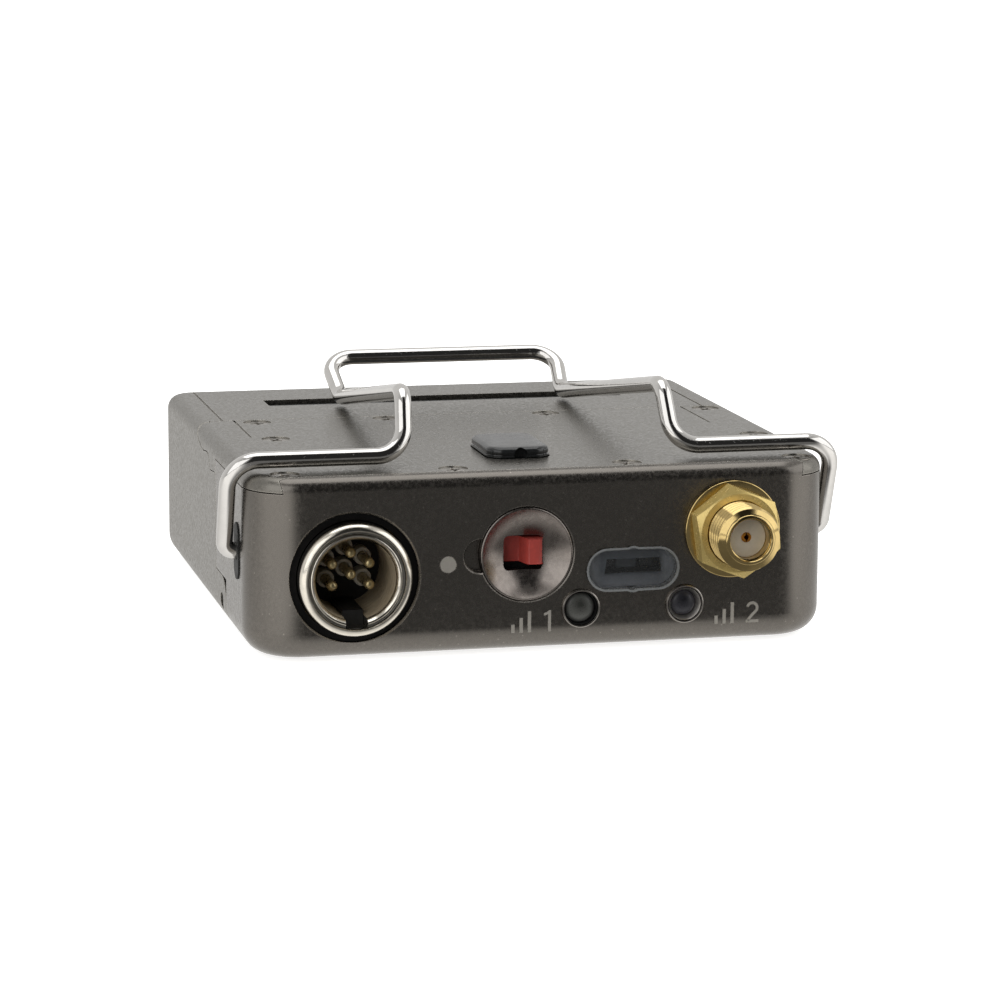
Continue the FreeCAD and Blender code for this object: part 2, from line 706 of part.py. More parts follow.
def contact_springs():
    """A bowed leaf at the flat end of each cell."""
    made = []
    for index, depth in enumerate(CELL_DEPTHS):
        side = 1 if index == 0 else -1
        foot = -side * (TRAY_HALF_W - TRAY_END_T - CONTACT_T - 0.01)
        z0 = CELL_Z - SPRING_W / 2
        ends = [at(foot, depth - 4, z0), at(foot, depth + 4, z0)]
        outer = Part.Arc(ends[0], at(foot + side * SPRING_RISE, depth, z0), ends[1]).toShape()
        inner_ends = [at(foot, depth - 3.6, z0), at(foot, depth + 3.6, z0)]
        inner = Part.Arc(inner_ends[0], at(foot + side * (SPRING_RISE - 0.22), depth, z0), inner_ends[1]).toShape()
        closing = [Part.makeLine(ends[1], inner_ends[1]), Part.makeLine(inner_ends[0], ends[0])]
        wire = Part.Wire(Part.__sortEdges__([outer, inner] + closing))
        made.append(Part.Face(wire).extrude(Vector(0, 0, SPRING_W)))
    return group(made)


def tray_pads():
    made = []
    for x in POWER_PIN_X:
        made.append(box(x - PAD_SIZE / 2, x + PAD_SIZE / 2, TRAY_FRONT[0] - PAD_T, TRAY_FRONT[0],
                        POWER_PIN_Z - PAD_SIZE / 2, POWER_PIN_Z + PAD_SIZE / 2))
    return group(made)


def power_pins():
    d0, d1 = POWER_PIN_DEPTH
    made = []
    for x in POWER_PIN_X:
        pin = rod_y(x, POWER_PIN_Z, POWER_PIN_R, d0, d1)
        collar = rod_y(x, POWER_PIN_Z, POWER_PIN_R * 1.8, d0, BODY_END - BULKHEAD_T - 0.02)
        made.append(join([pin.makeFillet(0.3, [pin.Edges[0]]), collar]))
    return group(made)


def corner_arc(before, corner, after, radius):
    a = (before - corner).normalize()
    b = (after - corner).normalize()
    half = math.acos(max(-1.0, min(1.0, a.dot(b)))) / 2
    run = radius / math.tan(half)
    start = corner + a * run
    end = corner + b * run
    middle = corner + (a + b).normalize() * (radius / math.sin(half) - radius)
    return start, middle, end


def bent_wire(points, bends, radius):
    edges = []
    last = points[0]
    for i in range(1, len(points) - 1):
        start, middle, end = corner_arc(points[i - 1], points[i], points[i + 1], bends[i])
        edges.append(Part.makeLine(last, start))
        edges.append(Part.Arc(start, middle, end).toShape())
        last = end
    edges.append(Part.makeLine(last, points[-1]))
    path = Part.Wire(edges)
    section = Part.Wire([Part.makeCircle(radius, points[0], points[1] - points[0])])
    return path.makePipeShell([section], True, True)


def clip_points():
    left = []
    for i, (x, depth, z, bend) in enumerate(CLIP_PATH):
        shift = CLIP_X0 if i > 2 else 0.0
        left.append((at(shift - x, depth, z), bend))
    right = []
    for i, (x, depth, z, bend) in enumerate(CLIP_PATH):
        shift = CLIP_X0 if i > 2 else 0.0
        right.append((at(shift + x, depth, z), bend))
    return left + right[::-1]


def belt_clip():
    points = clip_points()
    return bent_wire([p for p, b in points], [b for p, b in points], WIRE_R)


def clip_bush(side):
    inner_wall = CASE_W / 2 - WALL_T
    outer = CASE_W / 2 + BUSH_PROUD
    x0, x1 = sorted((side * (inner_wall - 0.05), side * outer))
    f0, f1 = sorted((side * (inner_wall - BUSH_FLANGE_T - 0.05), side * (inner_wall - 0.05)))
    barrel = obround_x(BUSH_W, BUSH_H, x0, x1)
    flange = obround_x(BUSH_W + 2 * BUSH_FLANGE, BUSH_H + 2 * BUSH_FLANGE, f0, f1)
    return join([barrel, flange]).cut(rod_x(PIVOT_DEPTH, PIVOT_Z, BUSH_HOLE_R, -FAR, FAR))


def clip_retainers():
    made = []
    outer = CASE_W / 2 - WALL_T - BUSH_FLANGE_T - 0.1
    for side in (-1, 1):
        x0, x1 = sorted((side * outer, side * (outer - RETAINER_T)))
        disc = rod_x(PIVOT_DEPTH, PIVOT_Z, RETAINER_R, x0, x1)
        made.append(disc.cut(rod_x(PIVOT_DEPTH, PIVOT_Z, WIRE_R + 0.005, x0 - 1, x1 + 1)))
    return group(made)


def xlr_pin_places():
    places = [(XLR_X, XLR_Z)]
    for angle in (-30, 30, 90, 150, 210):
        turn = math.radians(angle)
        places.append((XLR_X + XLR_PIN_CIRCLE * math.cos(turn), XLR_Z + XLR_PIN_CIRCLE * math.sin(turn)))
    return places


def xlr_isolator():
    return ring_y(XLR_X, XLR_Z, XLR_HOLE_R - 0.04, XLR_ISO_R, 0.4, 2.6)


def xlr_shell():
    head = rod_y(XLR_X, XLR_Z, XLR_RING_R, -XLR_PROUD, XLR_LOCK_DEPTH[0] - 0.1)
    head = head.makeChamfer(XLR_EDGE, end_edges(head, -XLR_PROUD))
    barrel = rod_y(XLR_X, XLR_Z, XLR_THREAD_R, 0, XLR_LEN)
    tools = [
        rod_y(XLR_X, XLR_Z, XLR_BORE_R, -2, XLR_LEN + 1),
        cone_y(XLR_X, XLR_Z, XLR_FACE_R, XLR_BORE_R, -XLR_PROUD, -XLR_PROUD + 0.5),
        box(XLR_X - XLR_KEY_W / 2, XLR_X + XLR_KEY_W / 2, -2, XLR_LEN - 1, XLR_Z - XLR_FACE_R, XLR_Z),
    ]
    return cut(join([head, barrel]), tools)


def xlr_insulator():
    disc = rod_y(XLR_X, XLR_Z, XLR_BORE_R - 0.03, XLR_FACE_DEPTH, XLR_LEN - 0.3)
    width = XLR_KEY_W / 2 - 0.04
    key = box(XLR_X - width, XLR_X + width, 1.0, XLR_LEN - 1.1, XLR_Z - XLR_FACE_R + 0.05, XLR_Z - 3.3)
    tools = []
    for x, z in xlr_pin_places():
        tools.append(rod_y(x, z, XLR_CUP_R + 0.01, 0, XLR_CUP_DEPTH[1]))
        tools.append(rod_y(x, z, XLR_PIN_R + 0.01, 0, XLR_LEN + 1))
    return cut(join([disc, key]), tools)


def xlr_pins():
    made = []
    for x, z in xlr_pin_places():
        pin = rod_y(x, z, XLR_PIN_R, XLR_PIN_TIP, XLR_PIN_END)
        made.append(pin.makeChamfer(XLR_PIN_NOSE, end_edges(pin, XLR_PIN_TIP)))
    return group(made)


def xlr_cups():
    d0, d1 = XLR_CUP_DEPTH
    return group([ring_y(x, z, XLR_CUP_R, XLR_PIN_R + 0.02, d0, d1 - 0.02) for x, z in xlr_pin_places()])


def xlr_lock_ring():
    d0, d1 = XLR_LOCK_DEPTH
    ring = ring_y(XLR_X, XLR_Z, XLR_LOCK_R, XLR_THREAD_R + 0.02, d0, d1)
    notches = []
    for angle in (45, 135, 225, 315):
        turn = math.radians(angle)
        x = XLR_X + (XLR_LOCK_R + 0.2) * math.cos(turn)
        z = XLR_Z + (XLR_LOCK_R + 0.2) * math.sin(turn)
        notches.append(rod_y(x, z, 0.7, d0 - 1, d1 + 1))
    return cut(ring, notches)


def xlr_board():
    disc = rod_y(XLR_X, XLR_Z, XLR_THREAD_R, XLR_LEN + 0.03, XLR_LEN + 0.03 + XLR_BOARD_T)
    return cut(disc, [rod_y(x, z, XLR_PIN_R + 0.02, 0, FAR) for x, z in xlr_pin_places()])


def switch_bezel():
    disc = rod_y(BEZEL_X, BEZEL_Z, BEZEL_R, 0.0, BEZEL_T)
    ball_r = (BOWL_R ** 2 + BOWL_DEEP ** 2) / (2 * BOWL_DEEP)
    ball = Part.makeSphere(ball_r, at(BEZEL_X, BOWL_DEEP - ball_r, BEZEL_Z))
    window = box(SLOT_X - SLOT_W / 2, SLOT_X + SLOT_W / 2, -1, BEZEL_T + 1, SLOT_Z - SLOT_H / 2,
                 SLOT_Z + SLOT_H / 2)
    along_y = [e for e in window.Edges if abs(e.Vertexes[0].Point.y - e.Vertexes[-1].Point.y) > 1]
    return disc.cut(ball).cut(window.makeFillet(0.45, along_y))


def switch_knob():
    """S-shaped slider: a flat plate behind the bezel with one crest for the finger."""
    left = SLOT_X - SLOT_W / 2 - 0.5
    right = SLOT_X + SLOT_W / 2 + KNOB_TRAVEL + 0.4
    front, back = KNOB_PLATE
    z0 = SLOT_Z + KNOB_RISE - KNOB_H / 2
    crest_left = SLOT_X + 0.55
    crest_right = SLOT_X + SLOT_W / 2 - 0.08
    slope = Part.BSplineCurve()
    slope.interpolate([at(SLOT_X - 0.3, front, z0), at(SLOT_X - 0.05, front - 0.35, z0),
                       at(SLOT_X + 0.24, front - 1.5, z0), at(crest_left, KNOB_CREST, z0)])
    path = [at(crest_left, KNOB_CREST, z0), at(crest_right - 0.15, KNOB_CREST - 0.08, z0),
            at(crest_right, KNOB_CREST + 0.1, z0), at(crest_right, front, z0), at(right, front, z0),
            at(right, back, z0), at(left, back, z0), at(left, front, z0), at(SLOT_X - 0.3, front, z0)]
    face = Part.Face(Part.Wire([slope.toShape()] + Part.makePolygon(path).Edges))
    return face.extrude(Vector(0, 0, KNOB_H))


def switch_housing():
    half_w, half_h, back, front = SWITCH_BOX
    return box(SLOT_X - half_w, SLOT_X + half_w, front, back, SLOT_Z - half_h, SLOT_Z + half_h)


def index_dot():
    return rod_y(DOT_X, DOT_Z, DOT_R, 0.0, DOT_T)


def ir_window():
    return window_shape(0, -WIN_PROUD, WIN_T)


def ir_surround():
    d0 = WIN_T + 0.12
    frame = obround_y(WIN_X, WIN_Z, WIN_W - 0.3, WIN_H - 0.3, d0, d0 + SURROUND_T)
    hole = box(WIN_X + SURROUND_HOLE_X[0], WIN_X + SURROUND_HOLE_X[1], 0, FAR,
               WIN_Z + SURROUND_HOLE_Z[0], WIN_Z + SURROUND_HOLE_Z[1])
    return frame.cut(hole)


def ir_transceiver():
    half_w, half_h, thick = IR_BOX
    d0 = WIN_T + 0.3
    z = WIN_Z + IR_RISE
    block = box(WIN_X - half_w, WIN_X + half_w, d0 + 0.65, d0 + 0.65 + thick, z - half_h, z + half_h)
    domes = [Part.makeSphere(IR_DOME_R, at(WIN_X + side * IR_DOME_X, d0 + 0.9, z)) for side in (-1, 1)]
    return join([block] + domes)


def led_rims():
    return group([ring_y(x, LED_Z, LED_RIM_R, LED_LENS_R, -LED_PROUD, LED_RIM_END) for x in LED_XS])


def led_lenses():
    made = []
    for x in LED_XS:
        pipe = rod_y(x, LED_Z, LED_LENS_R - 0.02, 0, LED_PIPE_END)
        ball = Part.makeSphere(2.6, at(x, 2.2, LED_Z))
        dome = rod_y(x, LED_Z, LED_LENS_R - 0.02, -2, 0.1).common(ball)
        made.append(join([pipe, dome]))
    return group(made)


def led_emitters():
    half_w, half_h, thick = LED_CHIP
    made = []
    for x in LED_XS:
        d0 = MAIN_BOARD[2] + 0.05
        made.append(box(x - half_w, x + half_w, d0, d0 + thick, MAIN_BOARD[5] + 0.02, LED_Z + half_h))
    return group(made)


def sma_body():
    thread = rod_y(SMA_X, SMA_Z, SMA_R, SMA_FRONT, SMA_NECK_START)
    thread = thread.makeChamfer(SMA_LEAD_IN, end_edges(thread, SMA_FRONT))
    neck = rod_y(SMA_X, SMA_Z, SMA_NECK_R, SMA_NECK_START - 0.1, SMA_FLANGE[1])
    flange = rod_y(SMA_X, SMA_Z, SMA_FLANGE_R, SMA_FLANGE[0], SMA_FLANGE[1])
    flats = box(SMA_X - FAR, SMA_X + FAR, SMA_FLANGE[0] - 1, FAR, SMA_Z - SMA_FLAT, SMA_Z + SMA_FLAT)
    tail = rod_y(SMA_X, SMA_Z, SMA_TAIL_R, SMA_FLANGE[1] - 0.1, SMA_BACK)
    return join([thread, neck, flange.common(flats), tail]).cut(rod_y(SMA_X, SMA_Z, SMA_BORE_R, -FAR, FAR))


def sma_washer():
    return ring_y(SMA_X, SMA_Z, SMA_WASHER_R, SMA_WASHER_BORE_R, -SMA_WASHER_T, -0.01)


def sma_nut():
    d1 = -SMA_WASHER_T - 0.01
    d0 = d1 - SMA_NUT_T
    corners = []
    for i in range(6):
        turn = math.radians(90 + SMA_NUT_TURN + 60 * i)
        reach = SMA_NUT_AF / 2 / math.cos(math.radians(30))
        corners.append((SMA_X + reach * math.cos(turn), SMA_Z + reach * math.sin(turn)))
    nut = prism_y(corners, d0, d1)
    bevel = cone_y(SMA_X, SMA_Z, SMA_NUT_AF / 2 - 0.1, SMA_NUT_AF / 2 + 1.4, d0, d1 + 0.4)
    return nut.common(bevel).cut(rod_y(SMA_X, SMA_Z, SMA_NECK_R + 0.03, -FAR, FAR))


def sma_dielectric():
    tube = rod_y(SMA_X, SMA_Z, SMA_BORE_R - 0.02, SMA_FRONT + SMA_RECESS, SMA_BACK)
    return tube.cut(rod_y(SMA_X, SMA_Z, SMA_PIN_R + 0.01, -FAR, FAR))


def sma_contact():
    d0 = SMA_FRONT + SMA_RECESS - 0.05
    pin = rod_y(SMA_X, SMA_Z, SMA_PIN_R, d0, SMA_TAIL)
    return pin.cut(rod_y(SMA_X, SMA_Z, SMA_PIN_BORE_R, d0 - 1, d0 + SMA_PIN_BORE))


def sma_pigtail():
    start = at(SMA_X, SMA_TAIL + 0.05, SMA_Z)
    points = [start, at(SMA_X, SMA_TAIL + 4.0, SMA_Z), at(SMA_X, SMA_TAIL + 4.0, RF_BOARD[4] - 0.02)]
    return bent_wire(points, [0, 0.5, 0], 0.45)


def board(size, holes, hole_r):
    plate = box(*size)
    return cut(plate, [rod_z(x, d, hole_r, 0, FAR) for x, d in holes])


def board_screws():
    made = []
    for x, depth in MAIN_POSTS:
        top = MAIN_BOARD[5] + 0.02
        head = rod_z(x, depth, BOARD_SCREW_HEAD_R, top, top + BOARD_SCREW_HEAD_H)
        made.append(head.fuse(rod_z(x, depth, BOARD_SCREW_R, FLOOR_T - 0.4, top + 0.1)))
    return group(made)


def rf_standoffs():
    made = []
    for x, depth in RF_POSTS:
        low = MAIN_BOARD[5] + 0.6 if depth < MAIN_BOARD[3] else STEP_Z + STEP_WALL_T + 0.01
        made.append(rod_z(x, depth, 1.1, low, RF_BOARD[4] - 0.01))
    return group(made)


def can(size):
    x0, x1, d0, d1, z0, z1 = size
    return box(*size).cut(box(x0 + CAN_T, x1 - CAN_T, d0 + CAN_T, d1 - CAN_T, z0 - 1, z1 - CAN_T))


def main_chips():
    return group([box(*size) for size in CHIPS])


def board_link():
    x0, x1, d0, d1 = LINK
    return box(x0, x1, d0, d1, MAIN_BOARD[5] + 0.02, RF_BOARD[4] - 0.02)


save("main_body", main_body())
save("top_cover", top_cover())
save("cover_screws_front", cover_screws(SCREWS_FRONT, SCREW_LEN))
save("cover_screws_mid", cover_screws(SCREWS_MID, SCREW_LEN))
save("cover_screws_rear", cover_screws(SCREWS_REAR, SCREW_SHORT_LEN))
save("cover_nut_strip", cover_nut_strip())
save("cover_gasket", cover_gasket())
save("antenna_cap", antenna_cap())
save("battery_door", battery_door())
save("door_latch", door_latch())
save("hinge_pin", hinge_pin())
save("battery_tray", battery_tray())
save("cell_bodies", cell_bodies())
save("cell_sleeves", cell_sleeves())
save("cell_buttons", cell_buttons())
save("contact_plates", contact_plates())
save("contact_springs", contact_springs())
save("tray_pads", tray_pads())
save("power_pins", power_pins())
save("belt_clip", belt_clip())
save("clip_bush_left", clip_bush(-1))
save("clip_bush_right", clip_bush(1))
save("clip_retainers", clip_retainers())
save("xlr_isolator", xlr_isolator())
save("xlr_shell", xlr_shell())
save("xlr_insulator", xlr_insulator())
save("xlr_pins", xlr_pins())
save("xlr_cups", xlr_cups())
save("xlr_lock_ring", xlr_lock_ring())
save("xlr_board", xlr_board())
save("switch_bezel", switch_bezel())
save("switch_knob", switch_knob())
save("switch_housing", switch_housing())
save("index_dot", index_dot())
save("ir_window", ir_window())
save("ir_surround", ir_surround())
save("ir_transceiver", ir_transceiver())
save("led_rims", led_rims())
save("led_lenses", led_lenses())
save("led_emitters", led_emitters())
save("sma_body", sma_body())
save("sma_washer", sma_washer())
save("sma_nut", sma_nut())
save("sma_dielectric", sma_dielectric())
save("sma_contact", sma_contact())
save("sma_pigtail", sma_pigtail())
save("main_board", board(MAIN_BOARD, MAIN_POSTS, BOARD_SCREW_R + 0.05))
save("board_screws", board_screws())
save("main_shield", can(MAIN_CAN))
save("main_chips", main_chips())
save("rf_board", board(RF_BOARD, [], BOARD_SCREW_R))
save("rf_standoffs", rf_standoffs())
save("rf_shield", can(RF_CAN))
save("antenna_module", box(*AERIAL_CHIP))
save("board_link", board_link())
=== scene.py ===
import bpy
import bmesh
import math
import random
from mathutils import Matrix, Vector


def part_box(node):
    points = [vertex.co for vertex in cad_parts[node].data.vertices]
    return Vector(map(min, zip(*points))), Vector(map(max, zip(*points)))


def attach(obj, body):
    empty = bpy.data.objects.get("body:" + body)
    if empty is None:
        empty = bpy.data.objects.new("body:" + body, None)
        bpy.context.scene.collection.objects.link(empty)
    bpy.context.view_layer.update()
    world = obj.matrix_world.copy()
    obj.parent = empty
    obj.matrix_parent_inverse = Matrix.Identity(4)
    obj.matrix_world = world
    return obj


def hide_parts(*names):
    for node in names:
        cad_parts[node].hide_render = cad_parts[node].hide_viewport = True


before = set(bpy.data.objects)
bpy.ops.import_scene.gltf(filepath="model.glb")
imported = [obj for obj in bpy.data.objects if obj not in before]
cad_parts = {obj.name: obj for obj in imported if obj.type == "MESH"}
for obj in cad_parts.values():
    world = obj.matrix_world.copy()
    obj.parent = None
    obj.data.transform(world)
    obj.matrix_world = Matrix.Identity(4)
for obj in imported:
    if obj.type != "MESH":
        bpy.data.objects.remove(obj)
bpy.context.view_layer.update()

MM = 0.001
CASE_D = 56.8  # depth of the case in millimetres; the front panel is at Y = -CASE_D / 2
random.seed(7)


# ---------------------------------------------------------------- places

def at(x, depth, z):
    """A point given in millimetres: X, distance behind the front panel, height."""
    return Vector((x * MM, (depth - CASE_D / 2) * MM, z * MM))


def centre(node):
    """X and Z of the middle of a CAD node, in millimetres."""
    low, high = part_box(node)
    return (low.x + high.x) / 2 / MM, (low.z + high.z) / 2 / MM


def led_places():
    """X and Z of the two lights, the left one first."""
    low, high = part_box("led_rims")
    r = (high.z - low.z) / 2 / MM
    z = (high.z + low.z) / 2 / MM
    return [(low.x / MM + r, z), (high.x / MM - r, z)]


def depth_of(y):
    """Distance in millimetres behind the front panel of a Y in metres."""
    return y / MM + CASE_D / 2


# ---------------------------------------------------------------- materials

def rgb(r, g, b):
    """Linear colour from display values of 0 to 255."""
    out = []
    for v in (r, g, b):
        v /= 255
        out.append(v / 12.92 if v <= 0.04045 else ((v + 0.055) / 1.055) ** 2.4)
    return out + [1.0]


class Graph:
    """Shorthand for building a node tree. A value is a number, a colour or another node's output."""

    def __init__(self, tree):
        self.tree = tree

    def node(self, kind, **settings):
        made = self.tree.nodes.new(kind)
        for key, value in settings.items():
            setattr(made, key, value)
        return made

    def link(self, source, target):
        self.tree.links.new(source, target)

    def feed(self, socket, value):
        """Sets a socket to a plain value, or links an output to it."""
        if isinstance(value, (int, float, list, tuple)):
            socket.default_value = value
        else:
            self.link(value, socket)

    def maths(self, operation, a, b=0.0):
        m = self.node("ShaderNodeMath", operation=operation)
        self.feed(m.inputs[0], a)
        self.feed(m.inputs[1], b)
        return m.outputs[0]

    def ramp(self, value, low, high, to_low=0.0, to_high=1.0, kind="LINEAR"):
        """Takes low to high of a value to to_low to to_high, and no further."""
        r = self.node("ShaderNodeMapRange", interpolation_type=kind)
        self.link(value, r.inputs["Value"])
        for key, v in (("From Min", low), ("From Max", high), ("To Min", to_low), ("To Max", to_high)):
            self.feed(r.inputs[key], v)
        return r.outputs["Result"]

    def split(self, vector):
        """The X, Y and Z of a vector."""
        parts = self.node("ShaderNodeSeparateXYZ")
        self.link(vector, parts.inputs[0])
        return tuple(parts.outputs)


class Look(Graph):
    """A material whose pattern is measured in millimetres on the object."""

    def __init__(self, name):
        self.material = bpy.data.materials.new(name)
        self.material.use_nodes = True
        super().__init__(self.material.node_tree)
        self.shader = self.tree.nodes["Principled BSDF"]
        coords = self.node("ShaderNodeTexCoord")
        scaled = self.node("ShaderNodeVectorMath", operation="SCALE")
        self.link(coords.outputs["Object"], scaled.inputs[0])
        scaled.inputs["Scale"].default_value = 1 / MM
        self.place = scaled.outputs[0]
        self.height = None

    def put(self, **sockets):
        """Sets the shader's sockets, with _ for each space in their names."""
        for name, value in sockets.items():
            self.shader.inputs[name.replace("_", " ")].default_value = value

    def noise(self, size, detail=3.0):
        """Soft blotches of that many millimetres."""
        n = self.node("ShaderNodeTexNoise")
        n.inputs["Scale"].default_value = 1 / size
        n.inputs["Detail"].default_value = detail
        n.inputs["Roughness"].default_value = 0.55
        self.link(self.place, n.inputs["Vector"])
        return n.outputs["Fac"]

    def mix(self, share, a, b):
        m = self.node("ShaderNodeMix", data_type="RGBA")
        for i, value in ((0, share), (6, a), (7, b)):
            self.feed(m.inputs[i], value)
        return m.outputs[2]

    def radius(self, x, z):
        """Distance in millimetres from a line along Y through X, Z."""
        here_x, _, here_z = self.split(self.place)
        dx = self.maths("SUBTRACT", here_x, x)
        dz = self.maths("SUBTRACT", here_z, z)
        square = self.maths("ADD", self.maths("MULTIPLY", dx, dx), self.maths("MULTIPLY", dz, dz))
        return self.maths("SQRT", square)

    def colour(self, output):
        self.link(output, self.shader.inputs["Base Color"])

    def roughness(self, output):
        self.link(output, self.shader.inputs["Roughness"])

    def normal(self, output):
        self.height = output
        self.link(output, self.shader.inputs["Normal"])

    def bump(self, value, distance):
        """Relief of that many millimetres, on top of what is there."""
        b = self.node("ShaderNodeBump")
        b.inputs["Strength"].default_value = 1.0
        b.inputs["Distance"].default_value = distance * MM
        self.link(value, b.inputs["Height"])
        if self.height:
            self.link(self.height, b.inputs["Normal"])
        self.normal(b.outputs[0])

    def bevelled(self, radius):
        """The normal of a surface whose edges have that radius."""
        n = self.node("ShaderNodeBevel", samples=4)
        n.inputs["Radius"].default_value = radius * MM
        return n.outputs[0]

    def rounded(self, radius):
        """Edges shaded as if they had that radius."""
        self.normal(self.bevelled(radius))

    def edges(self, radius):
        """1 on sharp edges, 0 on flat faces."""
        face = self.node("ShaderNodeNewGeometry")
        d = self.node("ShaderNodeVectorMath", operation="DOT_PRODUCT")
        self.link(self.bevelled(radius), d.inputs[0])
        self.link(face.outputs["Normal"], d.inputs[1])
        return self.ramp(d.outputs["Value"], 0.985, 0.86)


def shade(colour, factor):
    """The colour made brighter or darker."""
    return [c * factor for c in colour[:3]] + [1.0]


def simple(name, colour, rough, metallic=0.0, tone=0.1, tone_size=1.2, spread=0.12, grain=0.0,
           grain_size=0.1):
    """A surface with mottled tone, uneven gloss and fine grain."""
    look = Look(name)
    tone_map = look.ramp(look.noise(tone_size, 4), 0.35, 0.65)
    look.colour(look.mix(tone_map, shade(colour, 1 - tone), shade(colour, 1 + tone)))
    gloss_map = look.noise(tone_size * 1.7, 3)
    look.roughness(look.ramp(gloss_map, 0.3, 0.7, rough * (1 - spread), rough * (1 + spread)))
    if grain:
        look.bump(look.noise(grain_size, 2), grain)
    look.put(Metallic=metallic)
    return look


def coated_metal(name, colour, rough, flecks):
    """Bead-blasted metal with a thin coat and fine bright flecks; its edges are lightened in patches, partly
    as wear and partly as a painted highlight.
    """
    look = Look(name)
    cloud = look.ramp(look.noise(5.0, 3), 0.35, 0.65)
    base = look.mix(cloud, shade(colour, 0.93), shade(colour, 1.07))
    grain_size = 0.3
    grain = look.noise(grain_size, 2)
    pale = look.mix(0.5, base, shade(colour, 1.06))
    base = look.mix(look.ramp(grain, 0.36, 0.64), shade(colour, 0.9), pale)
    cells = look.node("ShaderNodeTexVoronoi")
    cells.inputs["Scale"].default_value = 1 / grain_size
    look.link(look.place, cells.inputs["Vector"])
    pick = look.node("ShaderNodeSeparateColor")
    look.link(cells.outputs["Color"], pick.inputs[0])
    few = look.ramp(pick.outputs[0], 0.93, 0.97)
    near = look.ramp(cells.outputs["Distance"], 0.34, 0.14)
    fleck = look.maths("MULTIPLY", look.maths("MULTIPLY", few, near), flecks)
    base = look.mix(fleck, base, shade(colour, 2.4))
    patchy = look.ramp(look.noise(0.8, 3), 0.25, 0.6, 0.35, 1.0)
    # Edges lightened in patches: partly wear, partly a painted highlight along the edges and chamfers.
    worn_and_highlit_edges = look.maths("MULTIPLY", look.edges(0.12), patchy)
    look.colour(look.mix(worn_and_highlit_edges, base, shade(colour, 3.0)))
    look.roughness(look.ramp(grain, 0.36, 0.66, rough * 0.8, rough * 1.3))
    look.rounded(0.09)
    look.bump(look.noise(0.14, 2), 0.0006)
    look.bump(look.noise(0.045, 1), 0.0005)
    look.put(Metallic=0.92)
    return look


def turned_metal(name, colour, rough, node, pitch, depth, metallic=1.0):
    """Metal with fine rings round the axis of a CAD node, as a lathe leaves them."""
    look = Look(name)
    _, y, _ = look.split(look.place)
    along = look.maths("ADD", look.radius(*centre(node)), look.maths("MULTIPLY", y, 0.7))
    wobble = look.maths("MULTIPLY", look.noise(0.8, 2), 0.12)
    turns = look.maths("MULTIPLY", look.maths("ADD", along, wobble), 2 * math.pi / pitch)
    tone = look.ramp(look.noise(0.9, 3), 0.3, 0.7)
    look.colour(look.mix(tone, shade(colour, 0.9), shade(colour, 1.06)))
    look.roughness(look.ramp(look.noise(0.5, 3), 0.3, 0.7, rough * 0.8, rough * 1.25))
    look.bump(look.maths("SINE", turns), depth)
    look.put(Metallic=metallic)
    return look


CASE_TONE = rgb(110, 106, 101)
LID_TONE = rgb(120, 117, 111)

# For simple(): colour, roughness, metallic, how far the tone varies and over how many millimetres,
# how far the gloss varies, and the depth and size of the grain.
SIMPLE_LOOKS = {
    "screw_steel": (rgb(150, 145, 138), 0.3, 1.0, 0.12, 0.5, 0.2, 0.003, 0.08),
    "strip_steel": (rgb(180, 180, 178), 0.35, 1.0),
    "gasket_rubber": (rgb(30, 30, 30), 0.8, 0.0, 0.15, 0.8, 0.1, 0.01, 0.2),
    "latch_plastic": (rgb(30, 30, 31), 0.5, 0.0, 0.12, 0.8, 0.1, 0.006, 0.12),
    "pin_steel": (rgb(190, 190, 188), 0.25, 1.0),
    "tray_plastic": (rgb(34, 34, 35), 0.55, 0.0, 0.1, 2.0, 0.1, 0.008, 0.15),
    "cell_steel": (rgb(200, 200, 196), 0.25, 1.0),
    "contact_nickel": (rgb(205, 200, 190), 0.28, 1.0),
    "contact_gold": (rgb(206, 142, 62), 0.3, 1.0),
    "bush_plastic": (rgb(10, 10, 10), 0.62, 0.0, 0.15, 0.6, 0.15, 0.004, 0.1),
    "retainer_steel": (rgb(150, 150, 148), 0.35, 1.0),
    "xlr_black": (rgb(7, 6, 6), 0.35, 0.0, 0.2, 0.6, 0.2, 0.003, 0.1),
    "xlr_insulator": (rgb(12, 11, 11), 0.6, 0.0, 0.2, 0.6, 0.15, 0.004, 0.12),
    "pin_silver": (rgb(176, 160, 120), 0.3, 0.75, 0.14, 0.4, 0.2, 0.002, 0.05),
    "cup_silver": (rgb(190, 186, 176), 0.4, 0.1, 0.1, 0.3, 0.2, 0.003, 0.06),
    "lock_brass": (rgb(205, 175, 115), 0.3, 1.0),
    "knob_red": (rgb(190, 76, 68), 0.42, 0.0, 0.07, 0.5, 0.15, 0.004, 0.06),
    "switch_black": (rgb(18, 18, 18), 0.6, 0.0, 0.1, 1.0, 0.1, 0.006, 0.12),
    "dot_paint": (rgb(162, 158, 150), 0.5, 0.0, 0.06, 0.2, 0.1, 0.004, 0.08),
    "ir_dark": (rgb(6, 8, 8), 0.3, 0.0, 0.2, 0.6, 0.2),
    "led_chip": (rgb(220, 218, 190), 0.5, 0.0),
    "led_rim": (rgb(165, 160, 154), 0.2, 1.0, 0.1, 0.4, 0.2),
    "cone_bright": (rgb(214, 210, 204), 0.3, 0.95),
    "rim_dark": (rgb(18, 18, 18), 0.4),
    "ptfe": (rgb(238, 226, 206), 0.45, 0.0, 0.04, 0.6, 0.1, 0.003, 0.15),
    "shield_tin": (rgb(205, 205, 208), 0.3, 1.0, 0.08, 1.0, 0.2, 0.002, 0.1),
    "chip_black": (rgb(28, 28, 28), 0.5, 0.0, 0.1, 0.6, 0.1, 0.004, 0.1),
    "standoff_brass": (rgb(210, 180, 120), 0.3, 1.0),
    "ceramic_white": (rgb(225, 225, 220), 0.35, 0.0),
}

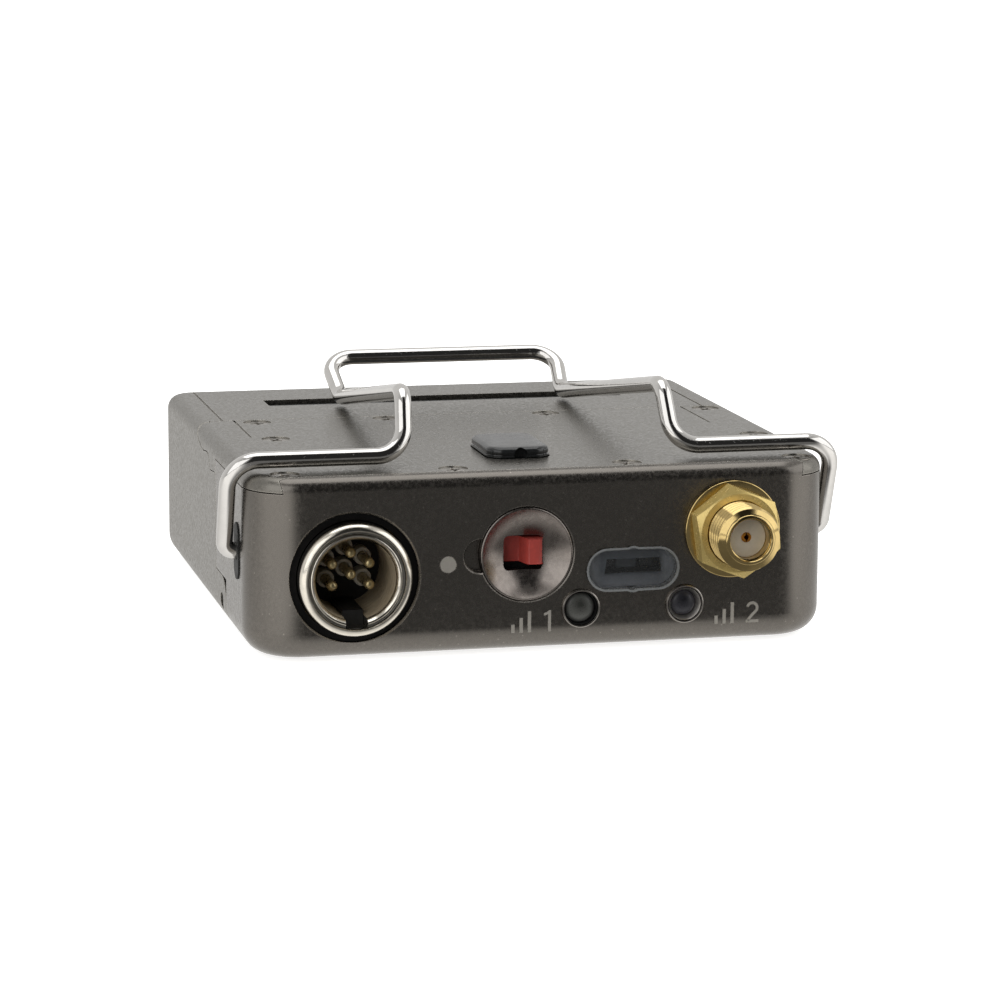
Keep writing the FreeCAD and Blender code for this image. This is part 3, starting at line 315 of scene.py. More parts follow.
# For turned_metal(): the material's name, colour, roughness, the node whose axis the rings go
# round, their pitch and depth, and how metallic it is.
TURNED_LOOKS = {
    "bezel_polish": ("polished_bowl", rgb(134, 127, 122), 0.27, "switch_bezel", 0.12, 0.0002),
    "xlr_nickel": ("turned_nickel", rgb(222, 216, 204), 0.14, "xlr_shell", 0.11, 0.0012),
    # The groove floor's nickel is darker than the rim's: a painted shade in the groove.
    "groove_nickel_painted_shade": ("shaded_nickel", rgb(150, 148, 142), 0.42, "xlr_shell", 0.1, 0.002),
    "bore_nickel": ("turned_bore", rgb(176, 162, 138), 0.42, "xlr_shell", 0.55, 0.02, 0.4),
    "nut_gold": ("turned_gold", rgb(226, 200, 126), 0.24, "sma_body", 0.1, 0.0012, 0.45),
    "sma_gold": ("gold_plate", rgb(202, 177, 120), 0.11, "sma_body", 0.1, 0.0007),
}


def chrome():
    """Bright drawn wire with a few pits."""
    look = Look("drawn_chrome")
    base = rgb(208, 206, 203)
    look.colour(look.mix(look.ramp(look.noise(1.2, 3), 0.35, 0.65), shade(base, 0.95), shade(base, 1.02)))
    look.roughness(look.ramp(look.noise(0.5, 4), 0.35, 0.75, 0.05, 0.13))
    pits = look.ramp(look.noise(0.16, 2), 0.68, 0.76)
    look.bump(pits, 0.004)
    look.bump(look.noise(1.5, 2), 0.006)
    look.put(Metallic=1.0)
    return look


def solder_mask():
    """Green board with a grid of paler tracks."""
    look = Look("solder_mask")
    grid = look.node("ShaderNodeTexBrick")
    grid.inputs["Scale"].default_value = 1.3
    grid.inputs["Color1"].default_value = rgb(30, 96, 58)
    grid.inputs["Color2"].default_value = rgb(24, 82, 50)
    grid.inputs["Mortar"].default_value = rgb(44, 122, 74)
    look.link(look.place, grid.inputs["Vector"])
    look.colour(grid.outputs["Color"])
    look.roughness(look.ramp(look.noise(1.0, 3), 0.3, 0.7, 0.25, 0.4))
    look.bump(look.noise(0.3, 3), 0.004)
    return look


def sleeve():
    """Shrink sleeve: dark with a metallic band at the button end."""
    look = Look("cell_sleeve")
    x, y, _ = look.split(look.place)
    across = look.ramp(y, 12.0, 12.1)
    toward = look.maths("SUBTRACT", 1.0, look.maths("MULTIPLY", across, 2.0))
    along = look.maths("MULTIPLY", x, toward)
    band = look.ramp(along, 11.9, 12.1)
    thin = look.maths("MULTIPLY", look.ramp(along, 10.6, 10.7), look.ramp(along, 11.2, 11.1))
    base = look.mix(band, rgb(30, 36, 52), rgb(196, 150, 92))
    base = look.mix(thin, base, rgb(210, 212, 214))
    look.colour(look.mix(look.ramp(look.noise(1.5, 3), 0.3, 0.7, 0.0, 0.12), base, rgb(0, 0, 0)))
    look.roughness(look.ramp(look.noise(2.0, 3), 0.3, 0.7, 0.18, 0.32))
    look.bump(look.noise(2.5, 2), 0.02)
    return look


def clear(name, colour, rough):
    """Clear moulding: see-through where it is faced, shiny where it is glanced at."""
    look = Look(name)
    look.colour(look.mix(look.ramp(look.noise(0.8, 2), 0.3, 0.7), shade(colour, 0.9), colour))
    look.roughness(look.ramp(look.noise(0.4, 3), 0.3, 0.7, rough * 0.6, rough * 1.4))
    glance = look.node("ShaderNodeLayerWeight")
    glance.inputs["Blend"].default_value = 0.35
    rim = look.maths("MAXIMUM", look.ramp(glance.outputs["Facing"], 0.25, 0.9), look.edges(0.2))
    look.link(look.ramp(rim, 0.0, 1.0, 0.09, 0.9), look.shader.inputs["Alpha"])
    look.put(IOR=1.5, Specular_IOR_Level=0.7)
    return look


def tinted_plate():
    """Grey-blue plate behind the window, paler towards its two ends, where the paleness is a painted
    highlight.
    """
    look = Look("surround_grey")
    window_x, window_z = centre("ir_window")
    x, _, z = look.split(look.place)
    reach = look.maths("ABSOLUTE", look.maths("SUBTRACT", x, window_x))
    # Painted highlight: the plate turns paler towards its two ends.
    ends = look.ramp(reach, 2.9, 3.6)
    low = look.ramp(z, window_z - 0.4, window_z - 1.6)
    base = look.mix(low, rgb(84, 90, 98), rgb(134, 138, 146))
    base = look.mix(look.maths("MULTIPLY", ends, 0.75), base, rgb(150, 154, 160))
    look.colour(look.mix(look.ramp(look.noise(0.5, 3), 0.3, 0.7, 0.0, 0.2), base, rgb(40, 44, 50)))
    look.roughness(look.ramp(look.noise(0.6, 2), 0.3, 0.7, 0.35, 0.5))
    look.bump(look.noise(0.12, 2), 0.004)
    return look


def frosted():
    """Dark translucent dome: darkest above its middle, greyer towards its edge, where the grey is a painted
    sheen.
    """
    look = Look("frosted_lens")
    # Painted sheen: the dome turns greyer with distance from a point above its middle.
    first, last = [look.radius(x, z + 0.35) for x, z in led_places()]
    glow = look.ramp(look.maths("MINIMUM", first, last), 0.1, 1.25)
    x, _, _ = look.split(look.place)
    second = look.ramp(x, 8.0, 9.0)
    dark = look.mix(second, rgb(48, 49, 46), rgb(24, 24, 31))
    pale = look.mix(second, rgb(104, 105, 101), rgb(66, 66, 73))
    base = look.mix(glow, dark, pale)
    look.colour(look.mix(look.ramp(look.noise(0.25, 2), 0.3, 0.7, 0.0, 0.15), base, rgb(20, 20, 20)))
    look.roughness(look.ramp(look.noise(0.12, 2), 0.3, 0.7, 0.25, 0.4))
    look.bump(look.noise(0.06, 1), 0.003)
    look.put(IOR=1.49)
    return look


def cap_plastic():
    """Satin on its top, glossy on its sides."""
    look = Look("cap_plastic")
    face = look.node("ShaderNodeNewGeometry")
    _, _, upward = look.split(face.outputs["Normal"])
    top = look.ramp(upward, 0.8, 0.95)
    look.colour(look.mix(look.ramp(look.noise(0.8, 3), 0.3, 0.7), rgb(30, 31, 32), rgb(40, 41, 42)))
    side = look.ramp(look.noise(1.0, 2), 0.3, 0.7, 0.08, 0.14)
    look.roughness(look.maths("ADD", side, look.maths("MULTIPLY", top, 0.13)))
    look.bump(look.noise(0.08, 2), 0.003)
    return look


looks = {name: simple(name, *values) for name, values in SIMPLE_LOOKS.items()}
for name, values in TURNED_LOOKS.items():
    looks[name] = turned_metal(*values)
looks["xlr_black"].put(Specular_IOR_Level=0.22)
looks["ptfe"].put(Subsurface_Weight=0.1)
looks["body_metal"] = coated_metal("coated_body", CASE_TONE, 0.25, 0.5)
looks["lid_metal"] = coated_metal("coated_lid", LID_TONE, 0.31, 0.35)
looks["door_metal"] = coated_metal("coated_door", LID_TONE, 0.31, 0.35)
looks["clip_chrome"] = chrome()
looks["board_green"] = solder_mask()
looks["cell_sleeve"] = sleeve()
looks["window_clear"] = clear("window_clear", rgb(150, 153, 154), 0.05)
looks["surround_grey"] = tinted_plate()
looks["led_lens"] = frosted()
looks["cap_plastic"] = cap_plastic()


# ---------------------------------------------------------------- mesh tools

WELD = 1e-7  # points nearer to each other than this, in metres, are one


def add_piece(name, mesh, body, look, nodes=(), sharp=35):
    """A piece that rides on a body, in place of CAD nodes where some are given."""
    obj = bpy.data.objects.new(name, mesh)
    bpy.context.scene.collection.objects.link(obj)
    clean(obj.data)
    obj.data.shade_smooth()
    obj.data.set_sharp_from_angle(angle=math.radians(sharp))
    obj.data.materials.clear()
    obj.data.materials.append(looks[look].material)
    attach(obj, body)
    if nodes:
        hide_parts(*nodes)


def clean(mesh):
    """Welds the mesh, drops empty faces and turns every face outwards."""
    b = bmesh.new()
    b.from_mesh(mesh)
    bmesh.ops.remove_doubles(b, verts=b.verts, dist=WELD)
    bmesh.ops.dissolve_degenerate(b, edges=b.edges, dist=WELD)
    bmesh.ops.recalc_face_normals(b, faces=b.faces)
    b.to_mesh(mesh)
    b.free()
    return mesh


def make_mesh(name, verts, faces):
    mesh = bpy.data.meshes.new(name)
    mesh.from_pydata([tuple(v) for v in verts], [], faces)
    return mesh


def skin(name, columns):
    """A closed surface over columns of points that go all the way round an axis."""
    count = len(columns[0])
    faces = []
    for i, here in enumerate(columns):
        j = (i + 1) % len(columns)
        for k in range(count):
            m = (k + 1) % count
            on_axis = here[k] == columns[j][k] and here[m] == columns[j][m]
            if not on_axis:
                faces.append((i * count + k, i * count + m, j * count + m, j * count + k))
    return make_mesh(name, [point for column in columns for point in column], faces)


def lofted(name, rings):
    """A closed solid through rings of points. Only clean() makes all its faces turn outwards."""
    count = len(rings[0])
    last = (len(rings) - 1) * count
    faces = [tuple(range(count)), tuple(range(last + count - 1, last - 1, -1))]
    for i in range(len(rings) - 1):
        for k in range(count):
            m = (k + 1) % count
            faces.append((i * count + k, i * count + m, (i + 1) * count + m, (i + 1) * count + k))
    return make_mesh(name, [point for ring in rings for point in ring], faces)


def baked(mesh, *modifiers):
    """The mesh after these modifiers, each given as (type, settings)."""
    obj = bpy.data.objects.new("work", mesh)
    bpy.context.scene.collection.objects.link(obj)
    helpers = []
    for kind, settings in modifiers:
        m = obj.modifiers.new(kind, kind)
        for key, value in settings.items():
            if key == "cutter":
                helper = bpy.data.objects.new("cutter", value)
                bpy.context.scene.collection.objects.link(helper)
                helpers.append(helper)
                m.operation = "DIFFERENCE"
                m.solver = "EXACT"
                m.object = helper
            else:
                setattr(m, key, value)
    bpy.context.view_layer.update()
    graph = bpy.context.evaluated_depsgraph_get()
    made = bpy.data.meshes.new_from_object(obj.evaluated_get(graph))
    for o in helpers + [obj]:
        bpy.data.objects.remove(o)
    return made


def cut(cutter):
    """For baked(): takes a mesh away."""
    return ("BOOLEAN", {"cutter": cutter})


def bevel(width, segments=3, angle=30):
    """For baked(): rounds edges that turn by more than the angle."""
    return ("BEVEL", {"width": width * MM, "segments": segments, "limit_method": "ANGLE",
                      "angle_limit": math.radians(angle)})


def soft(points, radius, steps=4):
    """Rounds the corners of a closed outline. radius is one number or one per point."""
    made = []
    count = len(points)
    for i, (px, py) in enumerate(points):
        r = radius[i] if isinstance(radius, (list, tuple)) else radius
        here = Vector((px, py))
        a = Vector(points[i - 1]) - here
        b = Vector(points[(i + 1) % count]) - here
        turn = a.angle(b)
        run = min(r / math.tan(turn / 2), a.length * 0.45, b.length * 0.45)
        r = run * math.tan(turn / 2)
        middle = here + (a.normalized() + b.normalized()).normalized() * (r / math.sin(turn / 2))
        start = here + a.normalized() * run - middle
        end = here + b.normalized() * run - middle
        sweep = start.angle_signed(end)
        for k in range(steps + 1):
            t = -sweep * k / steps
            c, s = math.cos(t), math.sin(t)
            made.append((middle.x + start.x * c - start.y * s, middle.y + start.x * s + start.y * c))
    return made


def turned(name, x, z, profile, segments=96):
    """A ring or disc: a closed profile of (radius, depth) points turned round a Y line."""
    columns = []
    for i in range(segments):
        turn = 2 * math.pi * i / segments
        columns.append([at(x + r * math.cos(turn), depth, z + r * math.sin(turn)) for r, depth in profile])
    return skin(name, columns)


def joined(name, meshes):
    """Several meshes as one."""
    b = bmesh.new()
    for mesh in meshes:
        b.from_mesh(mesh)
    made = bpy.data.meshes.new(name)
    b.to_mesh(made)
    b.free()
    return made


def rectangle(x0, x1, z0, z1):
    return [(x0, z0), (x1, z0), (x1, z1), (x0, z1)]


def plate_y(outline, d0, d1):
    """An outline of (x, z) points made thick along Y."""
    return lofted("plate", [[at(x, d, z) for x, z in outline] for d in (d0, d1)])


def block(x0, x1, d0, d1, z0, z1):
    """A box between two values each of X, depth and height."""
    return clean(plate_y(rectangle(x0, x1, z0, z1), d0, d1))


# ---------------------------------------------------------------- wire clip

WIRE_R = 0.82
CLIP_X0 = 0.27  # how far right of the middle the wire's upper part lies
# X, depth, height and bend radius of each corner, from a bush to the far loop.
CLIP_PATH = [(25.6, 8.0, 9.56, 0.0), (30.3, 8.0, 9.56, 1.15), (30.3, 4.6, 18.95, 2.9),
             (13.5, 4.6, 18.95, 2.9), (13.05, 7.4, 24.75, 1.9), (12.2, 43.2, 18.65, 3.0),
             (12.8, 48.6, 22.2, 2.6)]


def clip_line():
    """The wire's middle line, from one bush to the other, with its bends as arcs."""
    corners = []
    for side in (-1, 1):
        half = []
        for i, (x, depth, z, bend) in enumerate(CLIP_PATH):
            shift = CLIP_X0 if i > 2 else 0.0
            half.append((at(shift + side * x, depth, z), bend * MM))
        corners += half if side < 0 else half[::-1]
    line = [corners[0][0]]
    steps = 18
    for i in range(1, len(corners) - 1):
        here, bend = corners[i]
        a = (corners[i - 1][0] - here).normalized()
        b = (corners[i + 1][0] - here).normalized()
        half_turn = a.angle(b) / 2
        run = bend / math.tan(half_turn)
        middle = here + (a + b).normalized() * (bend / math.sin(half_turn))
        start, end = here + a * run - middle, here + b * run - middle
        for k in range(steps + 1):
            line.append(middle + start.normalized().slerp(end.normalized(), k / steps) * bend)
    line.append(corners[-1][0])
    return line


def swept(name, line, radius, around=36):
    """A round wire along the line."""
    side = (line[1] - line[0]).normalized().orthogonal().normalized()
    rings = []
    for i, here in enumerate(line):
        along = (line[min(i + 1, len(line) - 1)] - line[max(i - 1, 0)]).normalized()
        side = (side - along * side.dot(along)).normalized()
        up = along.cross(side)
        turns = [2 * math.pi * k / around for k in range(around)]
        rings.append([here + (side * math.cos(t) + up * math.sin(t)) * radius for t in turns])
    return lofted(name, rings)


add_piece("wire_clip", swept("wire_clip", clip_line(), WIRE_R * MM), "clip", "clip_chrome", ["belt_clip"])


# ---------------------------------------------------------------- aerial jack

def threaded_jack():
    """The threaded barrel with its rounded mouth, and the flange and tube behind the panel."""
    x, z = centre("sma_body")
    outer, inner, pitch, deep = 3.175, 1.95, 0.7056, 0.2
    front, back = -6.3, -0.52
    lead, lead_slope, root = 0.64, 1.6, 2.45
    around, rows = 96, 220
    mouth = [(inner, back), (inner, front + 0.5), (2.06, front + 0.46), (2.08, front + 0.06), (2.13, front),
             (2.22, front), (2.34, front + 0.04), (2.43, front + 0.11)]
    columns = []
    for i in range(around):
        turn = 2 * math.pi * i / around
        column = list(mouth)
        for k in range(rows + 1):
            depth = front + (back - front) * k / rows
            phase = (depth / pitch + i / around) % 1.0
            ridge = abs(phase * 2 - 1)
            crest = outer - deep * min(1.0, max(0.0, (ridge - 0.12) / 0.76))
            limit = outer - lead + (depth - front - 0.17) * lead_slope
            column.append((min(crest, max(limit, root)), max(depth, front + 0.14)))
        columns.append([at(x + r * math.cos(turn), d, z + r * math.sin(turn)) for r, d in column])
    rear = soft([(2.1, -0.52), (2.85, -0.52), (2.85, 2.05), (4.5, 2.05), (4.5, 3.6), (2.6, 3.6),
                 (2.6, 6.2), (2.1, 6.2)], 0.08, 2)
    return joined("aerial_jack", [skin("barrel", columns), turned("rear", x, z, rear)])


def hex_nut():
    """Hexagon with a turned chamfer, which leaves a round land on its front."""
    x, z = centre("sma_nut")
    across, thick, front, first_corner = 8.0, 2.2, -2.71, 98.0
    land, slope, bore, per_side = 3.87, 0.6, 3.2, 24
    columns = []
    for i in range(6 * per_side):
        turn = math.radians(first_corner) + math.pi / 3 * i / per_side
        from_flat = abs(i % per_side - per_side / 2) / (per_side / 2)
        reach = across / 2 / math.cos(math.radians(30) * from_flat)
        column = [(bore, front + thick), (bore, front + 0.12), (bore + 0.08, front), (land, front),
                  (reach, front + slope * (reach - land)), (reach, front + thick)]
        columns.append([at(x + r * math.cos(turn), d, z + r * math.sin(turn)) for r, d in column])
    return skin("nut", columns)


def washer():
    """Thin ring between the nut and the panel."""
    x, z = centre("sma_washer")
    corners = [(3.2, -0.5), (4.8, -0.5), (4.8, -0.01), (3.2, -0.01)]
    return turned("washer", x, z, soft(corners, [0.05, 0.12, 0.05, 0.02], 4), 128)


def jack_filling():
    """The insulator inside the barrel, with a bore for the contact."""
    x, z = centre("sma_body")
    profile = [(0.50, -4.72), (0.54, -4.75), (1.90, -4.75), (1.94, -4.71), (1.94, -0.4), (0.50, -0.4)]
    return turned("filling", x, z, profile, 96)


def jack_contact():
    """Sprung centre contact: a slotted gold tube flush with its insulator."""
    x, z = centre("sma_body")
    profile = soft([(0.24, -4.79), (0.49, -4.79), (0.49, -0.4), (0.24, -0.4)], 0.05, 3)
    slot = block(x - 0.05, x + 0.05, -5.1, -3.6, z - 0.6, z + 0.6)
    return baked(turned("contact", x, z, profile, 48), cut(slot))


add_piece("aerial_jack_body", threaded_jack(), "case", "sma_gold", ["sma_body"], 30)
add_piece("aerial_jack_nut", hex_nut(), "case", "nut_gold", ["sma_nut"], 18)
add_piece("aerial_jack_filling", jack_filling(), "case", "ptfe", ["sma_dielectric"])
add_piece("aerial_jack_contact", jack_contact(), "case", "contact_gold", ["sma_contact"])
add_piece("aerial_jack_washer", washer(), "case", "sma_gold", ["sma_washer"])


# ---------------------------------------------------------------- microphone input

BORE_R = 3.95
PIN_R = 0.5
PIN_CIRCLE_R = 2.1


def input_key():
    """The keyway cut through the bottom of the shell."""
    x, z = centre("xlr_shell")
    return block(x - 1.075, x + 1.075, -3.0, 10.0, z - 4.68, z - 2.0)


def input_shell():
    """Bright convex rim, a turned groove, then a thin bright lip round the bore."""
    x, z = centre("xlr_shell")
    profile = [(BORE_R, 11.0), (BORE_R, -0.84), (4.00, -0.94), (4.22, -1.16), (4.36, -1.20),
               (4.44, -1.17), (4.46, -1.13), (4.47, -0.80), (4.75, -0.80), (4.76, -1.34),
               (4.80, -1.395), (4.88, -1.40), (5.02, -1.355), (5.18, -1.27), (5.32, -1.14),
               (5.43, -0.97), (5.50, -0.76), (5.53, -0.52), (5.53, 0.1), (5.55, 0.3), (5.55, 2.65),
               (5.0, 2.65), (5.0, 11.0)]
    return baked(turned("shell", x, z, profile, 192), cut(input_key()))


def groove_floor():
    """Turned floor of the groove in the input's rim, in darker nickel that is a painted shade."""
    x, z = centre("xlr_shell")
    profile = [(4.472, -0.82), (4.472, -0.90), (4.50, -1.0), (4.58, -1.02), (4.60, -0.98),
               (4.66, -1.0), (4.71, -1.0), (4.74, -0.90), (4.745, -0.82)]
    return baked(turned("floor", x, z, profile, 160), cut(input_key()))


def bore_grooves():
    """The turned wall inside the shell: a thin sleeve with stepped rings."""
    x, z = centre("xlr_shell")
    valley, crest, outside, pitch, end = 3.949, 3.90, 3.985, 0.8, 7.0
    start = depth = -0.5
    inside = []
    while depth < end:
        inside += [(valley, depth), (valley, depth + 0.42), (crest, depth + 0.5), (crest, depth + 0.74)]
        depth += pitch
    ring = [(outside, start)] + inside + [(outside, depth)]
    return baked(turned("grooves", x, z, ring, 120), cut(input_key()))


def pin_places():
    """X and Z of the six pins: one in the middle and five round it, with a space above the key."""
    x, z = centre("xlr_shell")
    made = [(x, z)]
    for angle in (-30, 30, 90, 150, 210):
        turn = math.radians(angle)
        made.append((x + PIN_CIRCLE_R * math.cos(turn), z + PIN_CIRCLE_R * math.sin(turn)))
    return made


def input_pins():
    """Six pins with domed tips."""
    low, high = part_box("xlr_pins")
    tip, end = depth_of(low.y), depth_of(high.y)
    nose, shoulder = 0.42, 4.2
    angles = [math.radians(a) for a in range(0, 91, 10)]
    dome = [(PIN_R * math.sin(a), tip + nose - nose * math.cos(a)) for a in angles]
    profile = dome + [(PIN_R, shoulder), (PIN_R, end), (0.0, end)]
    return joined("pins", [turned("pin", x, z, profile, 40) for x, z in pin_places()])


def input_cups():
    """A short tube round each pin's foot."""
    profile = soft([(0.52, 5.3), (0.86, 5.3), (0.86, 8.3), (0.52, 8.3)], 0.06, 3)
    return joined("cups", [turned("cup", x, z, profile, 48) for x, z in pin_places()])


add_piece("input_shell", input_shell(), "case", "xlr_nickel", ["xlr_shell"], 25)
add_piece("input_groove", groove_floor(), "case", "groove_nickel_painted_shade", sharp=25)
add_piece("input_bore_rings", bore_grooves(), "case", "bore_nickel")
add_piece("input_pins", input_pins(), "case", "pin_silver", ["xlr_pins"])
add_piece("input_cups", input_cups(), "case", "cup_silver", ["xlr_cups"])


# ---------------------------------------------------------------- slide switch

KNOB_X = -2.15
SLOT_W = 3.85


def bowl():
    """Shallow polished dish with a window for the knob."""
    x, z = centre("switch_bezel")
    rim, deep, edge, back, steps = 4.38, 1.75, 4.55, 2.35, 32
    ball = (rim ** 2 + deep ** 2) / (2 * deep)
    profile = []
    for k in range(steps + 1):
        r = rim * k / steps
        profile.append((r, deep - ball + math.sqrt(ball ** 2 - r ** 2)))
    profile += [(4.44, 0.0), (edge, 0.06), (edge, back), (0.0, back)]
    slot_z, half_w, half_h = 9.55, SLOT_W / 2, 3.4 / 2
    outline = rectangle(KNOB_X - half_w, KNOB_X + half_w, slot_z - half_h, slot_z + half_h)
    window_cut = plate_y(soft(outline, 0.45, 6), -1, 4)
    return baked(turned("bowl", x, z, profile, 160), cut(window_cut), bevel(0.05, 2, 50))


def knob():
    """Finger slide: a plate behind the bowl that rises in an S-curve to a flat crest."""
    middle_z, half_h = 9.75, 2.5 / 2
    front, back, crest = 2.72, 3.22, 0.75
    left, right = KNOB_X - SLOT_W / 2 - 0.5, KNOB_X + SLOT_W / 2 + 2.2
    foot = KNOB_X - 0.2
    crest_left, crest_right = KNOB_X + 0.55, KNOB_X + SLOT_W / 2 - 0.08
    top = []
    rise_steps, crest_steps = 26, 8
    for k in range(rise_steps + 1):
        t = k / rise_steps
        ease = t * t * (3 - 2 * t)
        ease = ease * ease * (3 - 2 * ease) * 0.55 + ease * 0.45
        top.append((foot + (crest_left - foot) * t, front - 0.02 - (front - crest) * ease))
    for k in range(1, crest_steps + 1):
        t = k / crest_steps
        top.append((crest_left + (crest_right - 0.3 - crest_left) * t, crest - 0.05 * math.sin(math.pi * t)))
    top += [(crest_right - 0.08, 0.84), (crest_right, 1.05)]
    profile = [(left, front)] + top + [(crest_right, front), (right, front), (right, back), (left, back)]
    ends = [[at(x, d, z) for x, d in profile] for z in (middle_z - half_h, middle_z + half_h)]
    return baked(lofted("knob", ends), bevel(0.1, 3, 60))


add_piece("switch_bowl", bowl(), "case", "bezel_polish", ["switch_bezel"], 30)
add_piece("switch_slider", knob(), "knob", "knob_red", ["switch_knob"], 40)


# ---------------------------------------------------------------- lights and window

def rims():
    """Thin bright rings round the two lights."""
    profile = [(1.92, 2.5), (1.92, -0.16), (1.88, -0.24), (1.80, -0.27), (1.72, -0.25), (1.69, -0.20),
               (1.62, 0.2), (1.60, 2.5)]
    return joined("rims", [turned("rim", x, z, profile, 96) for x, z in led_places()])


def dark_cone():
    """Steep inner cone of the first light."""
    x, z = led_places()[0]
    return turned("cone", x, z, [(1.615, -0.12), (1.50, 0.3), (1.48, 2.5), (1.615, 2.5)], 96)


def bright_cone():
    """Wide inner cone of the second light."""
    x, z = led_places()[1]
    return turned("cone", x, z, [(1.615, -0.14), (1.28, 0.35), (1.26, 2.5), (1.615, 2.5)], 96)


def lens(x, z, depth, radius):
    """A dome that far behind the panel."""
    dome = []
    high, steps = 0.5, 12
    for k in range(steps + 1):
        a = math.radians(90 * k / steps)
        dome.append((radius * math.sin(a), depth + high - high * math.cos(a)))
    return turned("lens", x, z, dome + [(radius, 2.9), (0.0, 2.9)], 72)


def lenses():
    """The two domes; the second is smaller and deeper."""
    (x1, z1), (x2, z2) = led_places()
    return joined("lenses", [lens(x1, z1, 0.0, 1.46), lens(x2, z2, 0.1, 1.25)])


WINDOW_W, WINDOW_H = 8.9, 3.85


def end_arc(w, h, side, steps):
    """The half circle at one end of the window; w and h are half sizes, side is 1 or -1."""
    x, z = centre("ir_window")
    made = []
    for k in range(steps + 1):
        a = math.radians(-90 + 180 * k / steps) + (0 if side > 0 else math.pi)
        made.append((x + side * (w - h) + h * math.cos(a), z + h * math.sin(a)))
    return made


def window():
    """Clear moulding with round ends and a low tab in the middle of its top and bottom."""
    x, z = centre("ir_window")
    w, h = WINDOW_W / 2 - 0.08, WINDOW_H / 2 - 0.08
    tab_r, tab_out, steps = 0.8, 0.15, 16
    outline = []
    for side in (1, -1):
        outline += end_arc(w, h, side, 24)
        for k in range(steps + 1):
            a = math.radians(180 * k / steps)
            tab_x, tab_z = tab_r * math.cos(a), h + tab_out - tab_r + tab_r * math.sin(a)
            if tab_z > h + 0.01:
                outline.append((x + side * tab_x, z + side * tab_z))
    return baked(plate_y(outline, -0.3, 0.85), bevel(0.3, 6, 40))


def window_plate():
    """Plate behind the window with a trapezoid opening for the sender."""
    x, z = centre("ir_window")
    w, h = WINDOW_W / 2 - 0.08, WINDOW_H / 2 - 0.08
    outline = end_arc(w, h, 1, 16) + end_arc(w, h, -1, 16)
    hole = [(x - 2.6, z - 0.72), (x + 3.4, z - 0.72), (x + 3.15, z + 0.84), (x - 2.35, z + 0.84)]
    return baked(plate_y(outline, 0.9, 1.7), cut(plate_y(hole, 0.5, 3.5)), bevel(0.06, 2, 30))


def sender_block():
    """Dark module behind the plate: a block with two domed cells."""
    x, z = centre("ir_window")
    parts = [baked(block(x - 3.5, x + 3.5, 2.9, 5.3, z - 0.9, z + 1.3), bevel(0.15, 3))]
    for dx in (-2.0, 2.1):
        cell = block(x + dx - 0.85, x + dx + 0.85, 2.35, 3.0, z - 0.42, z + 0.82)
        parts.append(baked(cell, bevel(0.25, 4)))
    return joined("sender", parts)


def sender_bridge():
    """Paler bridge between the sender's cells."""
    x, z = centre("ir_window")
    return baked(block(x - 1.0, x + 1.1, 2.5, 3.0, z - 0.4, z + 0.6), bevel(0.18, 4))


add_piece("window_back_plate", window_plate(), "case", "surround_grey", ["ir_surround"])
add_piece("window_sender", sender_block(), "case", "ir_dark", ["ir_transceiver"])
add_piece("window_bridge", sender_bridge(), "case", "surround_grey")
add_piece("led_bezels", rims(), "case", "led_rim", ["led_rims"], 30)
add_piece("led_cone_first", dark_cone(), "case", "rim_dark")
add_piece("led_cone_second", bright_cone(), "case", "cone_bright")
add_piece("led_lenses_domed", lenses(), "case", "led_lens", ["led_lenses"])
add_piece("window_lens", window(), "case", "window_clear", ["ir_window"], 30)


# ---------------------------------------------------------------- aerial cap

def rounded_rectangle(x0, x1, d0, d1, radius, z, steps=10):
    """A ring of points at one height."""
    centres = [(x1 - radius, d1 - radius), (x0 + radius, d1 - radius), (x0 + radius, d0 + radius),
               (x1 - radius, d0 + radius)]
    made = []
    for quarter, (cx, cd) in enumerate(centres):
        for k in range(steps + 1):
            a = math.radians(90 * quarter + 90 * k / steps)
            made.append(at(cx + radius * math.cos(a), cd + radius * math.sin(a), z))
    return made


def aerial_cap():
    """Low moulded block with a rolled top edge, a step at its foot and a notch in its front."""
    x0, x1, d0, d1, corner = -4.2, 2.2, 7.0, 16.4, 1.75
    levels = [(0.25, 16.7), (0.25, 17.80), (0.10, 17.82), (0.0, 17.90), (0.0, 18.02), (0.10, 18.06),
              (0.13, 18.12), (0.06, 18.2), (0.05, 18.42)]  # inset and height
    for k in range(1, 8):
        a = math.radians(90 * k / 7)
        levels.append((0.05 + 0.5 * (1 - math.cos(a)), 18.42 + 0.44 * math.sin(a)))
    levels += [(1.2, 18.885), (2.2, 18.9)]
    rings = []
    for inset, z in levels:
        radius = max(0.4, corner - inset)
        rings.append(rounded_rectangle(x0 + inset, x1 - inset, d0 + inset, d1 - inset, radius, z))
    notch = turned("notch", (x0 + x1) / 2, 18.15, [(0.0, 6.0), (0.68, 6.0), (0.68, 7.75), (0.0, 7.75)], 40)
    return baked(clean(lofted("cap", rings)), cut(notch))


add_piece("aerial_cap", aerial_cap(), "case", "cap_plastic", ["antenna_cap"], 40)


# ---------------------------------------------------------------- cover screws

